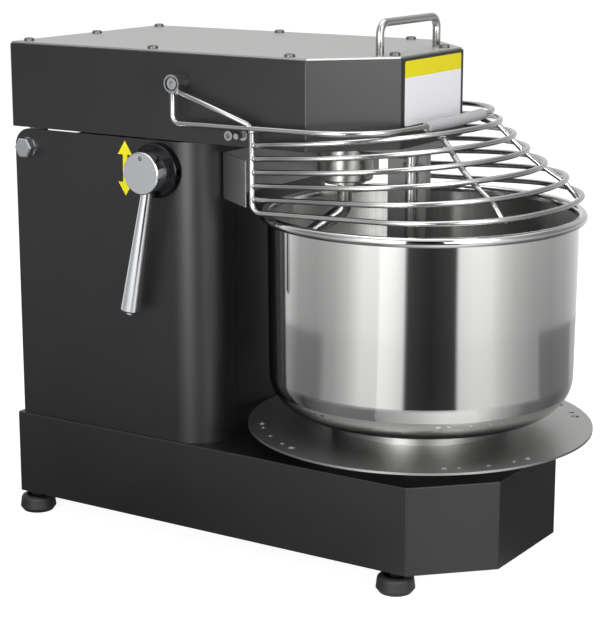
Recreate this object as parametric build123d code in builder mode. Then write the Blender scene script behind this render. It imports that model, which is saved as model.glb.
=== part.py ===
from build123d import *
import os
from math import atan, atan2, cos, degrees, pi, radians, sin, sqrt

# Bench-top tilt-head spiral dough mixer, millimetres.
# +Z is up, the bowl end faces -Y, X = 0 is the middle plane.
# The origin is at the floor, under the middle of the whole machine.

# ---- driving dimensions ----
base_width = 230.0
base_front = -226.5
base_back = 266.0
base_bottom = 20.5
base_top = 100.5
base_chamfer = 59.0
sheet = 2.0

column_half = 113.0
column_front = 41.5
column_back = 258.0
column_top = 377.0
column_corner = 35.0

head_half = 114.2
head_front = -124.0
head_back = 261.0
head_bottom = 378.5
head_top = 455.5
head_chamfer = 58.8
flange_width = 6.0
rim_width = 14.0
cover_thickness = 1.5

hinge_y = 241.0
hinge_z = 360.0
hinge_round = 17.0
hinge_bolt = 6.0

# the controls on the column's +X side
control_y = 150.0
panel_z = 262.0
timer_z = 292.0
button_z = 232.0
start_y = 128.0
stop_y = 172.0
knob_stem = 4.0

disc_overhang = 18.0
disc_top = 123.5
disc_thickness = 2.0
bowl_radius = 138.0
disc_radius = bowl_radius + disc_overhang
bowl_rim_z = 315.0
bowl_bottom = 138.0
bowl_wall = 1.5
bowl_corner = 34.0
rim_bead = 4.3

spindle_y = -34.6
housing_radius = 25.5
housing_bottom = 338.5
spiral_radius = 37.0
spiral_rod = 7.0
spiral_low = 154.0
spiral_side_gap = 11.8
# the bowl's back wall stands just behind the spiral
bowl_y = spindle_y - (bowl_radius - bowl_wall - spiral_radius - spiral_rod - spiral_side_gap)

guard_half = 128.0
guard_pivot = 4.0
guard_hinge_y = 62.5
guard_hinge_z = 430.5
guard_side_y = -19.5
guard_top_z = 397.0
guard_pitch = 11.65
wire = 2.4

lock_y = 91.0
lock_z = 350.7
striker_rise = 17.0
lock_pin = 6.0
collar_boss = 9.0

foot_inset = 12.3
stud_radius = 5.0
fit = 0.05

# bought parts: two ball bearings per shaft, and the belts' wheels
shaft_radius = 10.0
bearing_radius = 21.0
motor_shaft = 6.0
belt_gap = 0.4

chassis_bottom = head_bottom + sheet
chassis_top = chassis_bottom + 4.0
motor_y = 130.0
motor_radius = 48.0
gear_motor_y = 150.0
belt_low = 411.0
belt_high = 421.0
bowl_belt_low = 45.0
bowl_belt_high = 53.0

parts = []


def finish(builder, name):
    """Label one finished piece and write it as its own file."""
    builder.part.label = name
    parts.append(name)
    os.makedirs("parts", exist_ok=True)
    export_step(builder.part, f"parts/{name}.step")


def finish_group(pieces, name):
    """Write several separate wires of one kind as one file."""
    group = Compound(label=name, children=pieces)
    parts.append(name)
    export_step(group, f"parts/{name}.step")


def base_outline(inset):
    """Plan of the base: a rectangle with its two front corners cut at 45 degrees."""
    half = base_width / 2 - inset
    front = base_front + inset
    back = base_back - inset
    cut = base_chamfer - inset * (2 - sqrt(2))
    with BuildLine() as line:
        Polyline((-half, back), (-half, front + cut), (-half + cut, front),
                 (half - cut, front), (half, front + cut), (half, back), close=True)
    return line


def head_outline(inset):
    """Plan of the head: the same form as the base, shorter."""
    half = head_half - inset
    front = head_front + inset
    back = head_back - inset
    cut = head_chamfer - inset * (2 - sqrt(2))
    with BuildLine() as line:
        Polyline((-half, back), (-half, front + cut), (-half + cut, front),
                 (half - cut, front), (half, front + cut), (half, back), close=True)
    return line


outer_base = base_outline(0).line
inner_base = base_outline(sheet).line
lip_base = base_outline(sheet + 12).line
plate_base = base_outline(sheet + 0.3).line
outer_head = head_outline(0).line
inner_head = head_outline(sheet).line
lip_head = head_outline(sheet + flange_width).line
rim_head = head_outline(sheet + rim_width).line
plate_head = head_outline(sheet + 0.3).line
cover_head = head_outline(1.8).line

foot_x = base_width / 2 - foot_inset
foot_front = base_front + 75.8
foot_back = base_back - foot_inset
feet = [(-foot_x, foot_front), (foot_x, foot_front), (-foot_x, foot_back), (foot_x, foot_back)]

# ================= base =================
# The base is a folded box, open below except for a lip that carries the bottom plate.
with BuildPart() as base_shell:
    with BuildSketch(Plane.XY.offset(base_bottom)):
        with BuildLine():
            add(outer_base)
        make_face()
    extrude(amount=base_top - base_bottom)
    fillet(base_shell.edges().filter_by(Axis.Z), radius=3)
    fillet(base_shell.faces().sort_by(Axis.Z)[-1].edges(), radius=1.5)
    with BuildSketch(Plane.XY.offset(base_bottom + sheet)):
        with BuildLine():
            add(inner_base)
        make_face()
    extrude(amount=base_top - base_bottom - 2 * sheet, mode=Mode.SUBTRACT)
    with BuildSketch(Plane.XY.offset(base_bottom)):
        with BuildLine():
            add(lip_base)
        make_face()
    extrude(amount=sheet, mode=Mode.SUBTRACT)
    # bore for the turntable shaft, and the well under the column
    with BuildSketch(Plane.XY.offset(base_top - sheet)):
        with Locations((0, bowl_y)):
            Circle(15)
        with Locations((0, gear_motor_y)):
            RectangleRounded(170, 170, 8)
    extrude(amount=sheet, mode=Mode.SUBTRACT)
    with BuildSketch(Plane.XY.offset(base_bottom)):
        with Locations(*feet):
            Circle(stud_radius + fit)
    extrude(amount=sheet, mode=Mode.SUBTRACT)
finish(base_shell, "base_shell")

with BuildPart() as base_bottom_plate:
    with BuildSketch(Plane.XY.offset(base_bottom + sheet)):
        with BuildLine():
            add(plate_base)
        make_face()
        with Locations(*feet):
            Circle(stud_radius + fit, mode=Mode.SUBTRACT)
        with GridLocations(30, 14, 5, 3):
            SlotOverall(22, 5, mode=Mode.SUBTRACT)
    extrude(amount=sheet)
finish(base_bottom_plate, "base_bottom_plate")

# Four rubber pads flare towards the floor, with a soft shoulder and a pocket for the nut.
pad_radius = 17.4
pad_shoulder = 16.0
pad_skirt = 4.0
pad_height = 15.6
pocket_depth = 3.2
pocket_radius = 11.0
stud_depth = 9.0
with BuildPart() as foot_pads:
    with Locations(*[(x, y, pad_skirt) for x, y in feet]):
        Cone(pad_radius, pad_shoulder, pad_height - pad_skirt,
             align=(Align.CENTER, Align.CENTER, Align.MIN))
        Cone(pad_radius - 3, pad_radius, pad_skirt, align=(Align.CENTER, Align.CENTER, Align.MAX))
    fillet(foot_pads.faces().filter_by(Axis.Z).group_by(Axis.Z)[-1].edges(), radius=4.2)
    with Locations(*[(x, y, pad_height) for x, y in feet]):
        Cylinder(pocket_radius, pocket_depth, align=(Align.CENTER, Align.CENTER, Align.MAX),
                 mode=Mode.SUBTRACT)
        Cylinder(stud_radius + fit, stud_depth, align=(Align.CENTER, Align.CENTER, Align.MAX),
                 mode=Mode.SUBTRACT)
finish(foot_pads, "foot_pads")

# Each foot stud carries a hex nut that sits in the pad's pocket and bears on the base.
nut_low = pad_height - pocket_depth
nut_apothem = 7.6
stud_length = 26.0
with BuildPart() as foot_studs:
    with Locations(*[(x, y, pad_height - stud_depth) for x, y in feet]):
        Cylinder(stud_radius, stud_length, align=(Align.CENTER, Align.CENTER, Align.MIN))
    with BuildSketch(Plane.XY.offset(nut_low)):
        with Locations(*feet):
            RegularPolygon(nut_apothem, 6, major_radius=False)
    extrude(amount=base_bottom - nut_low)
finish(foot_studs, "foot_studs")

# ================= turntable and its drive =================
housing_low = 58.0
housing_wall = 5.0
flange_radius = 48.0
spacer_low = 76.0
with BuildPart() as turntable_housing:
    with BuildSketch(Plane.XY.offset(housing_low)):
        with Locations((0, bowl_y)):
            Circle(bearing_radius + housing_wall)
            Circle(bearing_radius, mode=Mode.SUBTRACT)
    extrude(amount=base_top - sheet - housing_low)
    with BuildSketch(Plane.XY.offset(base_top - sheet - housing_wall)):
        with Locations((0, bowl_y)):
            Circle(flange_radius)
            Circle(bearing_radius, mode=Mode.SUBTRACT)
    extrude(amount=housing_wall)
    # an inner rib keeps the two bearings apart
    with BuildSketch(Plane.XY.offset(spacer_low)):
        with Locations((0, bowl_y)):
            Circle(bearing_radius + 1)
            Circle(bearing_radius - 3, mode=Mode.SUBTRACT)
    extrude(amount=6)
finish(turntable_housing, "turntable_housing")

with BuildPart() as turntable_bearings:
    for low in (base_top - sheet - 14, 62.0):
        with BuildSketch(Plane.XY.offset(low)):
            with Locations((0, bowl_y)):
                Circle(bearing_radius - fit / 2)
                Circle(shaft_radius + fit / 2, mode=Mode.SUBTRACT)
        extrude(amount=12)
    fillet(turntable_bearings.edges().filter_by(GeomType.CIRCLE), radius=0.8)
finish(turntable_bearings, "turntable_bearings")

shaft_low = 36.0
boss_low = base_top + 1.0
disc_low = disc_top - disc_thickness
with BuildPart() as turntable_shaft:
    with BuildSketch(Plane.XY.offset(shaft_low)):
        with Locations((0, bowl_y)):
            Circle(shaft_radius - fit / 2)
    extrude(amount=disc_low - shaft_low)
    with BuildSketch(Plane.XY.offset(boss_low)):
        with Locations((0, bowl_y)):
            Circle(bearing_radius)
    extrude(amount=disc_low - boss_low)
    with BuildSketch(Plane.XY.offset(disc_low - housing_wall)):
        with Locations((0, bowl_y)):
            Circle(flange_radius)
    extrude(amount=housing_wall)
finish(turntable_shaft, "turntable_shaft")

# The turntable is a plain disc with small holes in four groups near its edge.
hole_circle = 144.0
hole_steps = (-15.5, -10.5, 0.0, 10.0, 16.0)
first_group = 53.0
pin_circle = 66.0
pin_radius = 4.0
pin_length = 10.0
with BuildPart() as turntable_disc:
    with BuildSketch(Plane.XY.offset(disc_low)):
        with Locations((0, bowl_y)):
            Circle(disc_radius)
            for step in hole_steps:
                with PolarLocations(hole_circle, 4, start_angle=first_group + step):
                    Circle(2.5 if abs(step) < 12 else 3.5, mode=Mode.SUBTRACT)
            with PolarLocations(pin_circle, 3, start_angle=30):
                Circle(pin_radius + fit, mode=Mode.SUBTRACT)
    extrude(amount=disc_thickness)
finish(turntable_disc, "turntable_disc")

# Three pins stand in the disc and turn the bowl by its foot ring's lugs.
with BuildPart() as drive_pins:
    with BuildSketch(Plane.XY.offset(disc_low)):
        with Locations((0, bowl_y)):
            with PolarLocations(pin_circle, 3, start_angle=30):
                Circle(pin_radius)
    extrude(amount=pin_length)
    fillet(drive_pins.faces().filter_by(Axis.Z).group_by(Axis.Z)[-1].edges(), radius=1.2)
finish(drive_pins, "drive_pins")


def loop_sketch(first_y, first_radius, second_y, second_radius, low, thickness, height):
    """A belt as one flat loop around two wheels on the middle plane."""
    with BuildPart() as loop:
        with BuildSketch(Plane.XY.offset(low)):
            with Locations((0, first_y)):
                Circle(first_radius + thickness)
            with Locations((0, second_y)):
                Circle(second_radius + thickness)
            make_hull()
        extrude(amount=height)
        with BuildSketch(Plane.XY.offset(low)):
            with Locations((0, first_y)):
                Circle(first_radius)
            with Locations((0, second_y)):
                Circle(second_radius)
            make_hull()
        extrude(amount=height, mode=Mode.SUBTRACT)
    return loop


bowl_wheel = 60.0
bowl_pinion = 16.0
spindle_wheel = 60.0
motor_wheel = 12.0


def wheel(centre_y, radius, bore, low, height, hub_radius, hub_height):
    """A flanged belt wheel with a hub on top."""
    with BuildPart() as turned:
        with BuildSketch(Plane.XY.offset(low)):
            with Locations((0, centre_y)):
                Circle(radius)
        extrude(amount=height)
        for level in (low - 2, low + height):
            with BuildSketch(Plane.XY.offset(level)):
                with Locations((0, centre_y)):
                    Circle(radius + 3)
            extrude(amount=2)
        with BuildSketch(Plane.XY.offset(low + height + 2)):
            with Locations((0, centre_y)):
                Circle(hub_radius)
        extrude(amount=hub_height)
        if radius > 40:
            with BuildSketch(Plane.XY.offset(low - 2)):
                with Locations((0, centre_y)):
                    with PolarLocations(radius * 0.62, 5):
                        Circle(radius * 0.2)
            extrude(amount=height + 4, mode=Mode.SUBTRACT)
        with BuildSketch(Plane.XY.offset(low - 2)):
            with Locations((0, centre_y)):
                Circle(bore)
        extrude(amount=height + 4 + hub_height, mode=Mode.SUBTRACT)
    return turned


bowl_pulley = wheel(bowl_y, bowl_wheel, shaft_radius, bowl_belt_low - 0.5,
                    bowl_belt_high - bowl_belt_low + 1, 15.99, 1.5)
finish(bowl_pulley, "bowl_pulley")
bowl_belt = loop_sketch(bowl_y, bowl_wheel + belt_gap, gear_motor_y, bowl_pinion + belt_gap,
                        bowl_belt_low, 3, bowl_belt_high - bowl_belt_low)
finish(bowl_belt, "bowl_belt")

# A plate with four legs hangs from the base top and carries the bowl's gear motor.
plate_low = 60.0
plate_thickness = 5.0
plate_top = plate_low + plate_thickness
plate_width = 196.0
plate_depth = 120.0
leg_radius = 6.0
with BuildPart() as gear_motor_plate:
    with BuildSketch(Plane.XY.offset(plate_low)):
        with Locations((0, gear_motor_y)):
            RectangleRounded(plate_width, plate_depth, 6)
            Circle(10, mode=Mode.SUBTRACT)
    extrude(amount=plate_thickness)
    with BuildSketch(Plane.XY.offset(plate_top)):
        with Locations((0, gear_motor_y)):
            with GridLocations(plate_width - 2 * leg_radius, plate_depth - 4 * leg_radius, 2, 2):
                Circle(leg_radius)
    extrude(amount=base_top - sheet - plate_top)
finish(gear_motor_plate, "gear_motor_plate")

gear_case_height = 34.0
gear_case_radius = 40.0
gear_motor_radius = 35.0
gear_motor_height = 62.0
with BuildPart() as bowl_gear_motor:
    with BuildSketch(Plane.XY.offset(plate_top)):
        with Locations((0, gear_motor_y)):
            Circle(gear_case_radius)
    extrude(amount=gear_case_height)
    with BuildSketch(Plane.XY.offset(plate_top + gear_case_height)):
        with Locations((0, gear_motor_y)):
            Circle(gear_motor_radius)
    extrude(amount=gear_motor_height)
    fillet(bowl_gear_motor.faces().sort_by(Axis.Z)[-1].edges(), radius=5)
    with BuildSketch(Plane.XY.offset(plate_top)):
        with Locations((0, gear_motor_y)):
            Circle(motor_shaft + fit)
    extrude(amount=20, mode=Mode.SUBTRACT)
finish(bowl_gear_motor, "bowl_gear_motor")

pinion = wheel(gear_motor_y, bowl_pinion, motor_shaft, bowl_belt_low - 0.5,
               bowl_belt_high - bowl_belt_low + 1, 10, 1)
with BuildPart() as gear_motor_pulley:
    add(pinion.part)
    with BuildSketch(Plane.XY.offset(bowl_belt_low - 4)):
        with Locations((0, gear_motor_y)):
            Circle(motor_shaft)
    extrude(amount=plate_low - 1 - bowl_belt_low + 4)
    with BuildSketch(Plane.XY.offset(plate_low - 1)):
        with Locations((0, gear_motor_y)):
            Circle(motor_shaft - fit / 2)
    extrude(amount=25)
finish(gear_motor_pulley, "gear_motor_pulley")

# ================= bowl =================
lower_radius = bowl_radius - 1.0
corner_z = bowl_bottom + bowl_corner
bowl_plane = Plane(origin=(0, bowl_y, 0), x_dir=(0, 1, 0), z_dir=(1, 0, 0))
with BuildPart() as bowl:
    with BuildSketch(bowl_plane):
        with BuildLine():
            outer_side = Line((bowl_radius, bowl_rim_z), (lower_radius, corner_z))
            outer_turn = RadiusArc(outer_side @ 1, (lower_radius - bowl_corner, bowl_bottom),
                                   bowl_corner)
            floor_out = Line(outer_turn @ 1, (0, bowl_bottom))
            middle = Line(floor_out @ 1, (0, bowl_bottom + bowl_wall))
            floor_in = Line(middle @ 1, (lower_radius - bowl_corner, bowl_bottom + bowl_wall))
            inner_turn = RadiusArc(floor_in @ 1, (lower_radius - bowl_wall, corner_z),
                                   -(bowl_corner - bowl_wall))
            inner_side = Line(inner_turn @ 1, (bowl_radius - bowl_wall, bowl_rim_z))
            Line(inner_side @ 1, outer_side @ 0)
        make_face()
        with Locations((bowl_radius + rim_bead - 1.5, bowl_rim_z)):
            Circle(rim_bead)
    revolve(axis=Axis((0, bowl_y, 0), (0, 0, 1)))
finish(bowl, "bowl")

ring_radius = 80.0
with BuildPart() as bowl_foot_ring:
    with BuildSketch(Plane.XY.offset(disc_top)):
        with Locations((0, bowl_y)):
            Circle(ring_radius)
            Circle(ring_radius - 2.5, mode=Mode.SUBTRACT)
    extrude(amount=bowl_bottom - disc_top)
    with BuildSketch(Plane.XY.offset(disc_top)):
        with Locations((0, bowl_y)):
            with PolarLocations(72, 3, start_angle=37.2):
                Rectangle(13, 8)
    extrude(amount=8)
finish(bowl_foot_ring, "bowl_foot_ring")

# ================= column =================
# The column's sheet turns both front corners in a wide arc. It is open above,
# where the spiral's motor hangs in it, and a screwed panel closes it behind.
column_middle = (column_front + column_back) / 2
column_depth = column_back - column_front
# the back cover lies on the column's rear flanges
cover_seat = column_back - 2.0
rear_flange = 13.0
rear_flange_rise = 245.0
corner_cut = 40.0
seam_x = -65.0
seam_width = 0.8
seam_depth = 0.7
with BuildPart() as column_shell:
    with BuildSketch(Plane.XY.offset(base_top)):
        with Locations((0, column_middle)):
            plan = Rectangle(2 * column_half, column_depth)
        fillet(plan.vertices().group_by(Axis.Y)[0], radius=column_corner)
    extrude(amount=column_top - base_top)
    with BuildSketch(Plane.XY.offset(base_top)):
        with Locations((0, column_middle + sheet)):
            hollow = Rectangle(2 * (column_half - sheet), column_depth)
        fillet(hollow.vertices().group_by(Axis.Y)[0], radius=column_corner - sheet)
    extrude(amount=column_top - base_top, mode=Mode.SUBTRACT)
    # rear flanges that take the back cover's screws
    for side in (-1, 1):
        with BuildSketch(Plane.XY.offset(base_top)):
            with Locations((side * (column_half - sheet - 6), cover_seat - sheet / 2)):
                Rectangle(rear_flange, sheet)
        extrude(amount=rear_flange_rise)
    # the rear top corners are rounded about the hinge so that the head can swing
    with BuildSketch(Plane.YZ.offset(-column_half)):
        with Locations((hinge_y + corner_cut / 2, hinge_z + corner_cut / 2)):
            Rectangle(corner_cut, corner_cut)
        with Locations((hinge_y, hinge_z)):
            Circle(hinge_round, mode=Mode.SUBTRACT)
    extrude(amount=2 * column_half, mode=Mode.SUBTRACT)
    with BuildSketch(Plane.YZ.offset(-column_half - 1)):
        with Locations((hinge_y, hinge_z)):
            Circle(hinge_bolt + fit)
    extrude(amount=2 * column_half + 2, mode=Mode.SUBTRACT)
    with BuildSketch(Plane.YZ.offset(-column_half - 1)):
        with Locations((lock_y, lock_z)):
            Circle(collar_boss + fit)
    extrude(amount=10, mode=Mode.SUBTRACT)
    # on the far side, the holes of the controls
    with BuildSketch(Plane.YZ.offset(column_half - 5)):
        with Locations((control_y, timer_z)):
            Circle(knob_stem + 1)
        with Locations((start_y, button_z), (stop_y, button_z)):
            Circle(9)
    extrude(amount=10, mode=Mode.SUBTRACT)
    # a folded front panel ends in a thin seam on the column's front face
    with BuildSketch(Plane.XZ.offset(-column_front)):
        with Locations((seam_x, (base_top + column_top) / 2)):
            Rectangle(seam_width, column_top - base_top)
    extrude(amount=-seam_depth, mode=Mode.SUBTRACT)
finish(column_shell, "column_shell")

cover_low = base_top + 1.0
cover_high = hinge_z + 2.0
back_sheet = 1.5
gland_spot = (60, 126)
gland_thread = 8.0
with BuildPart() as column_back_cover:
    with BuildSketch(Plane.XZ.offset(-cover_seat)):
        with Locations((0, (cover_low + cover_high) / 2)):
            Rectangle(2 * (column_half - sheet - 0.3), cover_high - cover_low)
            with GridLocations(60, 8, 2, 7):
                SlotOverall(44, 3, mode=Mode.SUBTRACT)
        with Locations(gland_spot):
            Circle(gland_thread + fit, mode=Mode.SUBTRACT)
    extrude(amount=-back_sheet)
finish(column_back_cover, "column_back_cover")

# Six button screws hold the cover to the flanges.
screw_rows = (118, 230, 335)
back_screw_spots = [(side * 105, height) for side in (-1, 1) for height in screw_rows]
cover_face = cover_seat + back_sheet
screw_head = 4.75
screw_head_height = 2.7
socket = 1.5
with BuildPart() as back_cover_screws:
    with BuildSketch(Plane.XZ.offset(-cover_face)):
        with Locations(*back_screw_spots):
            Circle(screw_head)
    extrude(amount=-screw_head_height)
    fillet(back_cover_screws.faces().filter_by(Axis.Y).group_by(Axis.Y)[-1].edges(), radius=1.6)
    with BuildSketch(Plane.XZ.offset(-(cover_face + screw_head_height))):
        with Locations(*back_screw_spots):
            RegularPolygon(socket, 6, major_radius=False)
    extrude(amount=1.5, mode=Mode.SUBTRACT)
finish(back_cover_screws, "back_cover_screws")

# A galvanised angle stiffens the open top, across the column's front part.
brace_width = 150.0
brace_leg = 15.0
brace_sheet = 2.0
brace_top = column_top - 1.0
with BuildPart() as column_top_brace:
    with BuildSketch(Plane.XY.offset(brace_top - brace_sheet)):
        with Locations((0, column_front + sheet + brace_leg / 2)):
            Rectangle(brace_width, brace_leg)
    extrude(amount=brace_sheet)
    with BuildSketch(Plane.XY.offset(brace_top - brace_sheet - brace_leg)):
        with Locations((0, column_front + sheet + brace_sheet / 2)):
            Rectangle(brace_width, brace_sheet)
    extrude(amount=brace_leg + brace_sheet)
finish(column_top_brace, "column_top_brace")

with BuildPart() as cable_gland:
    with BuildSketch(Plane.XZ.offset(-(column_back - 10))):
        with Locations(gland_spot):
            Circle(gland_thread)
    extrude(amount=-14)
    with BuildSketch(Plane.XZ.offset(-cover_face)):
        with Locations(gland_spot):
            RegularPolygon(10.5, 6, major_radius=False)
    extrude(amount=-5)
    with BuildSketch(Plane.XZ.offset(-(cover_face + 5))):
        with Locations(gland_spot):
            Circle(9)
    extrude(amount=-6)
    with BuildSketch(Plane.XZ.offset(-(column_back + 12))):
        with Locations(gland_spot):
            Circle(4)
    extrude(amount=30, mode=Mode.SUBTRACT)
finish(cable_gland, "cable_gland")

# Behind the bowl a stainless band is bent round as a splash shield.
shield_low = 326.0
shield_high = 366.8
with BuildPart() as rear_shield:
    with BuildSketch(Plane.XY.offset(shield_low)):
        with BuildLine():
            FilletPolyline((-114.5, -3), (-85, column_front), (85, column_front),
                           (114.5, -3), radius=6)
            offset(amount=1.5, side=Side.RIGHT)
        make_face()
    extrude(amount=shield_high - shield_low)
    fillet(rear_shield.edges().filter_by(Axis.X, reverse=True).group_by(Axis.Y)[0]
           .filter_by(GeomType.LINE), radius=0.5)
finish(rear_shield, "rear_shield")

# A flat double arrow beside the lever shows the way the head moves.
arrow_middle = 349.1
arrow_half = 25.0
with BuildPart() as arrow_label:
    with BuildSketch(Plane(origin=(-column_half, 128.5, arrow_middle), x_dir=(0, -1, 0),
                           z_dir=(-1, 0, 0))):
        Rectangle(5, 2 * arrow_half - 24)
        for way in (-1, 1):
            with BuildLine():
                Polyline((-8, way * (arrow_half - 12.5)), (8, way * (arrow_half - 12.5)),
                         (0, way * arrow_half), close=True)
            make_face()
    extrude(amount=0.4)
finish(arrow_label, "arrow_label")

# ================= hinge between column and head =================
# the head's two ears stand just inside the column's sides
ear_inner = 100.0
ear_outer = 105.0
bolt_washer = 2.4
washer_radius = 9.4
bolt_head = 8.2
bolt_apothem = 8.5
bolt_taper = 1.2
with BuildPart() as hinge_bolts:
    for side in (-1, 1):
        with BuildSketch(Plane(origin=(side * column_half, hinge_y, hinge_z),
                               x_dir=(0, 1, 0), z_dir=(side, 0, 0))):
            Circle(washer_radius)
        extrude(amount=bolt_washer)
        # the hexagon's corners are turned down to a cone at the outer face
        head_plane = Plane(origin=(side * (column_half + bolt_washer), hinge_y, hinge_z),
                           x_dir=(0, 1, 0), z_dir=(side, 0, 0))
        with BuildSketch(head_plane):
            RegularPolygon(bolt_apothem, 6, major_radius=False)
        extrude(amount=bolt_head - bolt_taper)
        with BuildSketch(head_plane.offset(bolt_head - bolt_taper)):
            RegularPolygon(bolt_apothem, 6, major_radius=False)
        with BuildSketch(head_plane.offset(bolt_head)):
            RegularPolygon(bolt_apothem - 1.1, 6, major_radius=False)
        loft()
        with BuildSketch(Plane(origin=(side * column_half, hinge_y, hinge_z),
                               x_dir=(0, 1, 0), z_dir=(-side, 0, 0))):
            Circle(hinge_bolt)
        extrude(amount=column_half - ear_inner + 2)
finish(hinge_bolts, "hinge_bolts")

bush_low = ear_outer + 0.2
with BuildPart() as hinge_bushes:
    for side in (-1, 1):
        with BuildSketch(Plane(origin=(side * bush_low, hinge_y, hinge_z),
                               x_dir=(0, 1, 0), z_dir=(side, 0, 0))):
            Circle(11)
            Circle(hinge_bolt, mode=Mode.SUBTRACT)
        extrude(amount=column_half - sheet - bush_low)
finish(hinge_bushes, "hinge_bushes")

# ================= head =================
with BuildPart() as head_shell:
    with BuildSketch(Plane.XY.offset(head_bottom)):
        with BuildLine():
            add(outer_head)
        make_face()
    extrude(amount=head_top - head_bottom)
    fillet(head_shell.edges().filter_by(Axis.Z), radius=3)
    fillet(head_shell.faces().sort_by(Axis.Z)[-1].edges(), radius=1.5)
    with BuildSketch(Plane.XY.offset(head_bottom + sheet)):
        with BuildLine():
            add(inner_head)
        make_face()
    extrude(amount=head_top - head_bottom - 2 * sheet, mode=Mode.SUBTRACT)
    with BuildSketch(Plane.XY.offset(head_bottom)):
        with BuildLine():
            add(lip_head)
        make_face()
    extrude(amount=sheet, mode=Mode.SUBTRACT)
    with BuildSketch(Plane.XY.offset(head_top - sheet)):
        with BuildLine():
            add(rim_head)
        make_face()
    extrude(amount=sheet, mode=Mode.SUBTRACT)
    with BuildSketch(Plane.YZ.offset(-head_half - 1)):
        with Locations((guard_hinge_y, guard_hinge_z)):
            Circle(guard_pivot)
    extrude(amount=2 * head_half + 2, mode=Mode.SUBTRACT)
finish(head_shell, "head_shell")

# The chassis plate lies on the head's bottom flange and has two bent hinge ears.
with BuildPart() as chassis_plate:
    with BuildSketch(Plane.XY.offset(chassis_bottom)):
        with BuildLine():
            add(plate_head)
        make_face()
        with Locations((0, spindle_y)):
            Circle(housing_radius, mode=Mode.SUBTRACT)
        with Locations((0, motor_y)):
            Circle(10, mode=Mode.SUBTRACT)
    extrude(amount=chassis_top - chassis_bottom)
    for side in (-1, 1):
        with BuildSketch(Plane.YZ.offset(side * (ear_inner + ear_outer) / 2)):
            with Locations((hinge_y, hinge_z)):
                Circle(12)
            with Locations((hinge_y - 3, (hinge_z + chassis_bottom) / 2 + 1)):
                Rectangle(18, chassis_bottom - hinge_z + 2)
        extrude(amount=(ear_outer - ear_inner) / 2, both=True)
    with BuildSketch(Plane.YZ.offset(-ear_outer - 1)):
        with Locations((hinge_y, hinge_z)):
            Circle(hinge_bolt + fit)
    extrude(amount=2 * ear_outer + 2, mode=Mode.SUBTRACT)
finish(chassis_plate, "chassis_plate")

cover_screw_spots = [(-100, 248.5), (0, 248.5), (100, 248.5), (-102, 103.5), (102, 103.5),
                     (-104, -42.5), (104, -42.5), (-44, -110.5), (44, -110.5)]
handle_y = -99.0
handle_half = 50.0
handle_rod = 3.6
handle_rise = 28.5
handle_top = head_top + handle_rise
cover_top = head_top + cover_thickness
screw_shank = 2.5
with BuildPart() as top_cover:
    with BuildSketch(Plane.XY.offset(head_top)):
        with BuildLine():
            add(cover_head)
        make_face()
        with Locations((-handle_half, handle_y), (handle_half, handle_y)):
            Circle(handle_rod, mode=Mode.SUBTRACT)
        with Locations(*cover_screw_spots):
            Circle(screw_shank, mode=Mode.SUBTRACT)
    extrude(amount=cover_thickness)
finish(top_cover, "top_cover")

with BuildPart() as cover_screws:
    with BuildSketch(Plane.XY.offset(cover_top)):
        with Locations(*cover_screw_spots):
            Circle(screw_head)
    extrude(amount=screw_head_height)
    fillet(cover_screws.faces().filter_by(Axis.Z).group_by(Axis.Z)[-1].edges(), radius=1.8)
    with BuildSketch(Plane.XY.offset(cover_top)):
        with Locations(*cover_screw_spots):
            Circle(screw_shank)
    extrude(amount=-cover_thickness)
    with BuildSketch(Plane.XY.offset(cover_top + screw_head_height)):
        with Locations(*cover_screw_spots):
            RegularPolygon(socket, 6, major_radius=False)
    extrude(amount=-1.6, mode=Mode.SUBTRACT)
finish(cover_screws, "cover_screws")

handle_low = head_top - 6.0
with BuildPart() as lift_handle:
    with BuildLine():
        FilletPolyline((-handle_half, handle_y, handle_low), (-handle_half, handle_y, handle_top),
                       (handle_half, handle_y, handle_top), (handle_half, handle_y, handle_low),
                       radius=10)
    with BuildSketch(Plane.XY.offset(handle_low)):
        with Locations((-handle_half, handle_y)):
            Circle(handle_rod)
    sweep()
    # the nuts under the cover are welded to the legs
    with BuildSketch(Plane.XY.offset(handle_low + 1)):
        with Locations((-handle_half, handle_y), (handle_half, handle_y)):
            RegularPolygon(4.5, 6, major_radius=False)
    extrude(amount=5)
finish(lift_handle, "lift_handle")

film = 0.4
label_width = 100.0
label_height = 55.4
label_z = 425.2
with BuildPart() as front_label:
    with BuildSketch(Plane.XZ.offset(-head_front)):
        with Locations((0, label_z)):
            RectangleRounded(label_width, label_height, 2)
    extrude(amount=film)
finish(front_label, "front_label")

# ================= spindle, spiral and their drive =================
spindle_axis = (0, spindle_y)
bearing_height = 14.0
housing_flange = 6.0
housing_flange_radius = 40.0
bearing_lows = (housing_bottom + 4, chassis_top + housing_flange - bearing_height)
with BuildPart() as spindle_housing:
    with BuildSketch(Plane.XY.offset(housing_bottom)):
        with Locations(spindle_axis):
            Circle(housing_radius)
    extrude(amount=chassis_top - housing_bottom)
    with BuildSketch(Plane.XY.offset(chassis_top)):
        with Locations(spindle_axis):
            Circle(housing_flange_radius)
    extrude(amount=housing_flange)
    chamfer(spindle_housing.faces().sort_by(Axis.Z)[0].edges(), length=1)
    with BuildSketch(Plane.XY.offset(housing_bottom)):
        with Locations(spindle_axis):
            Circle(12)
    extrude(amount=60, mode=Mode.SUBTRACT)
    for low in bearing_lows:
        with BuildSketch(Plane.XY.offset(low)):
            with Locations(spindle_axis):
                Circle(bearing_radius)
        extrude(amount=bearing_height, mode=Mode.SUBTRACT)
finish(spindle_housing, "spindle_housing")

with BuildPart() as spindle_bearings:
    for low in bearing_lows:
        with BuildSketch(Plane.XY.offset(low)):
            with Locations(spindle_axis):
                Circle(bearing_radius)
                Circle(shaft_radius + fit, mode=Mode.SUBTRACT)
        extrude(amount=bearing_height)
finish(spindle_bearings, "spindle_bearings")

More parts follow.
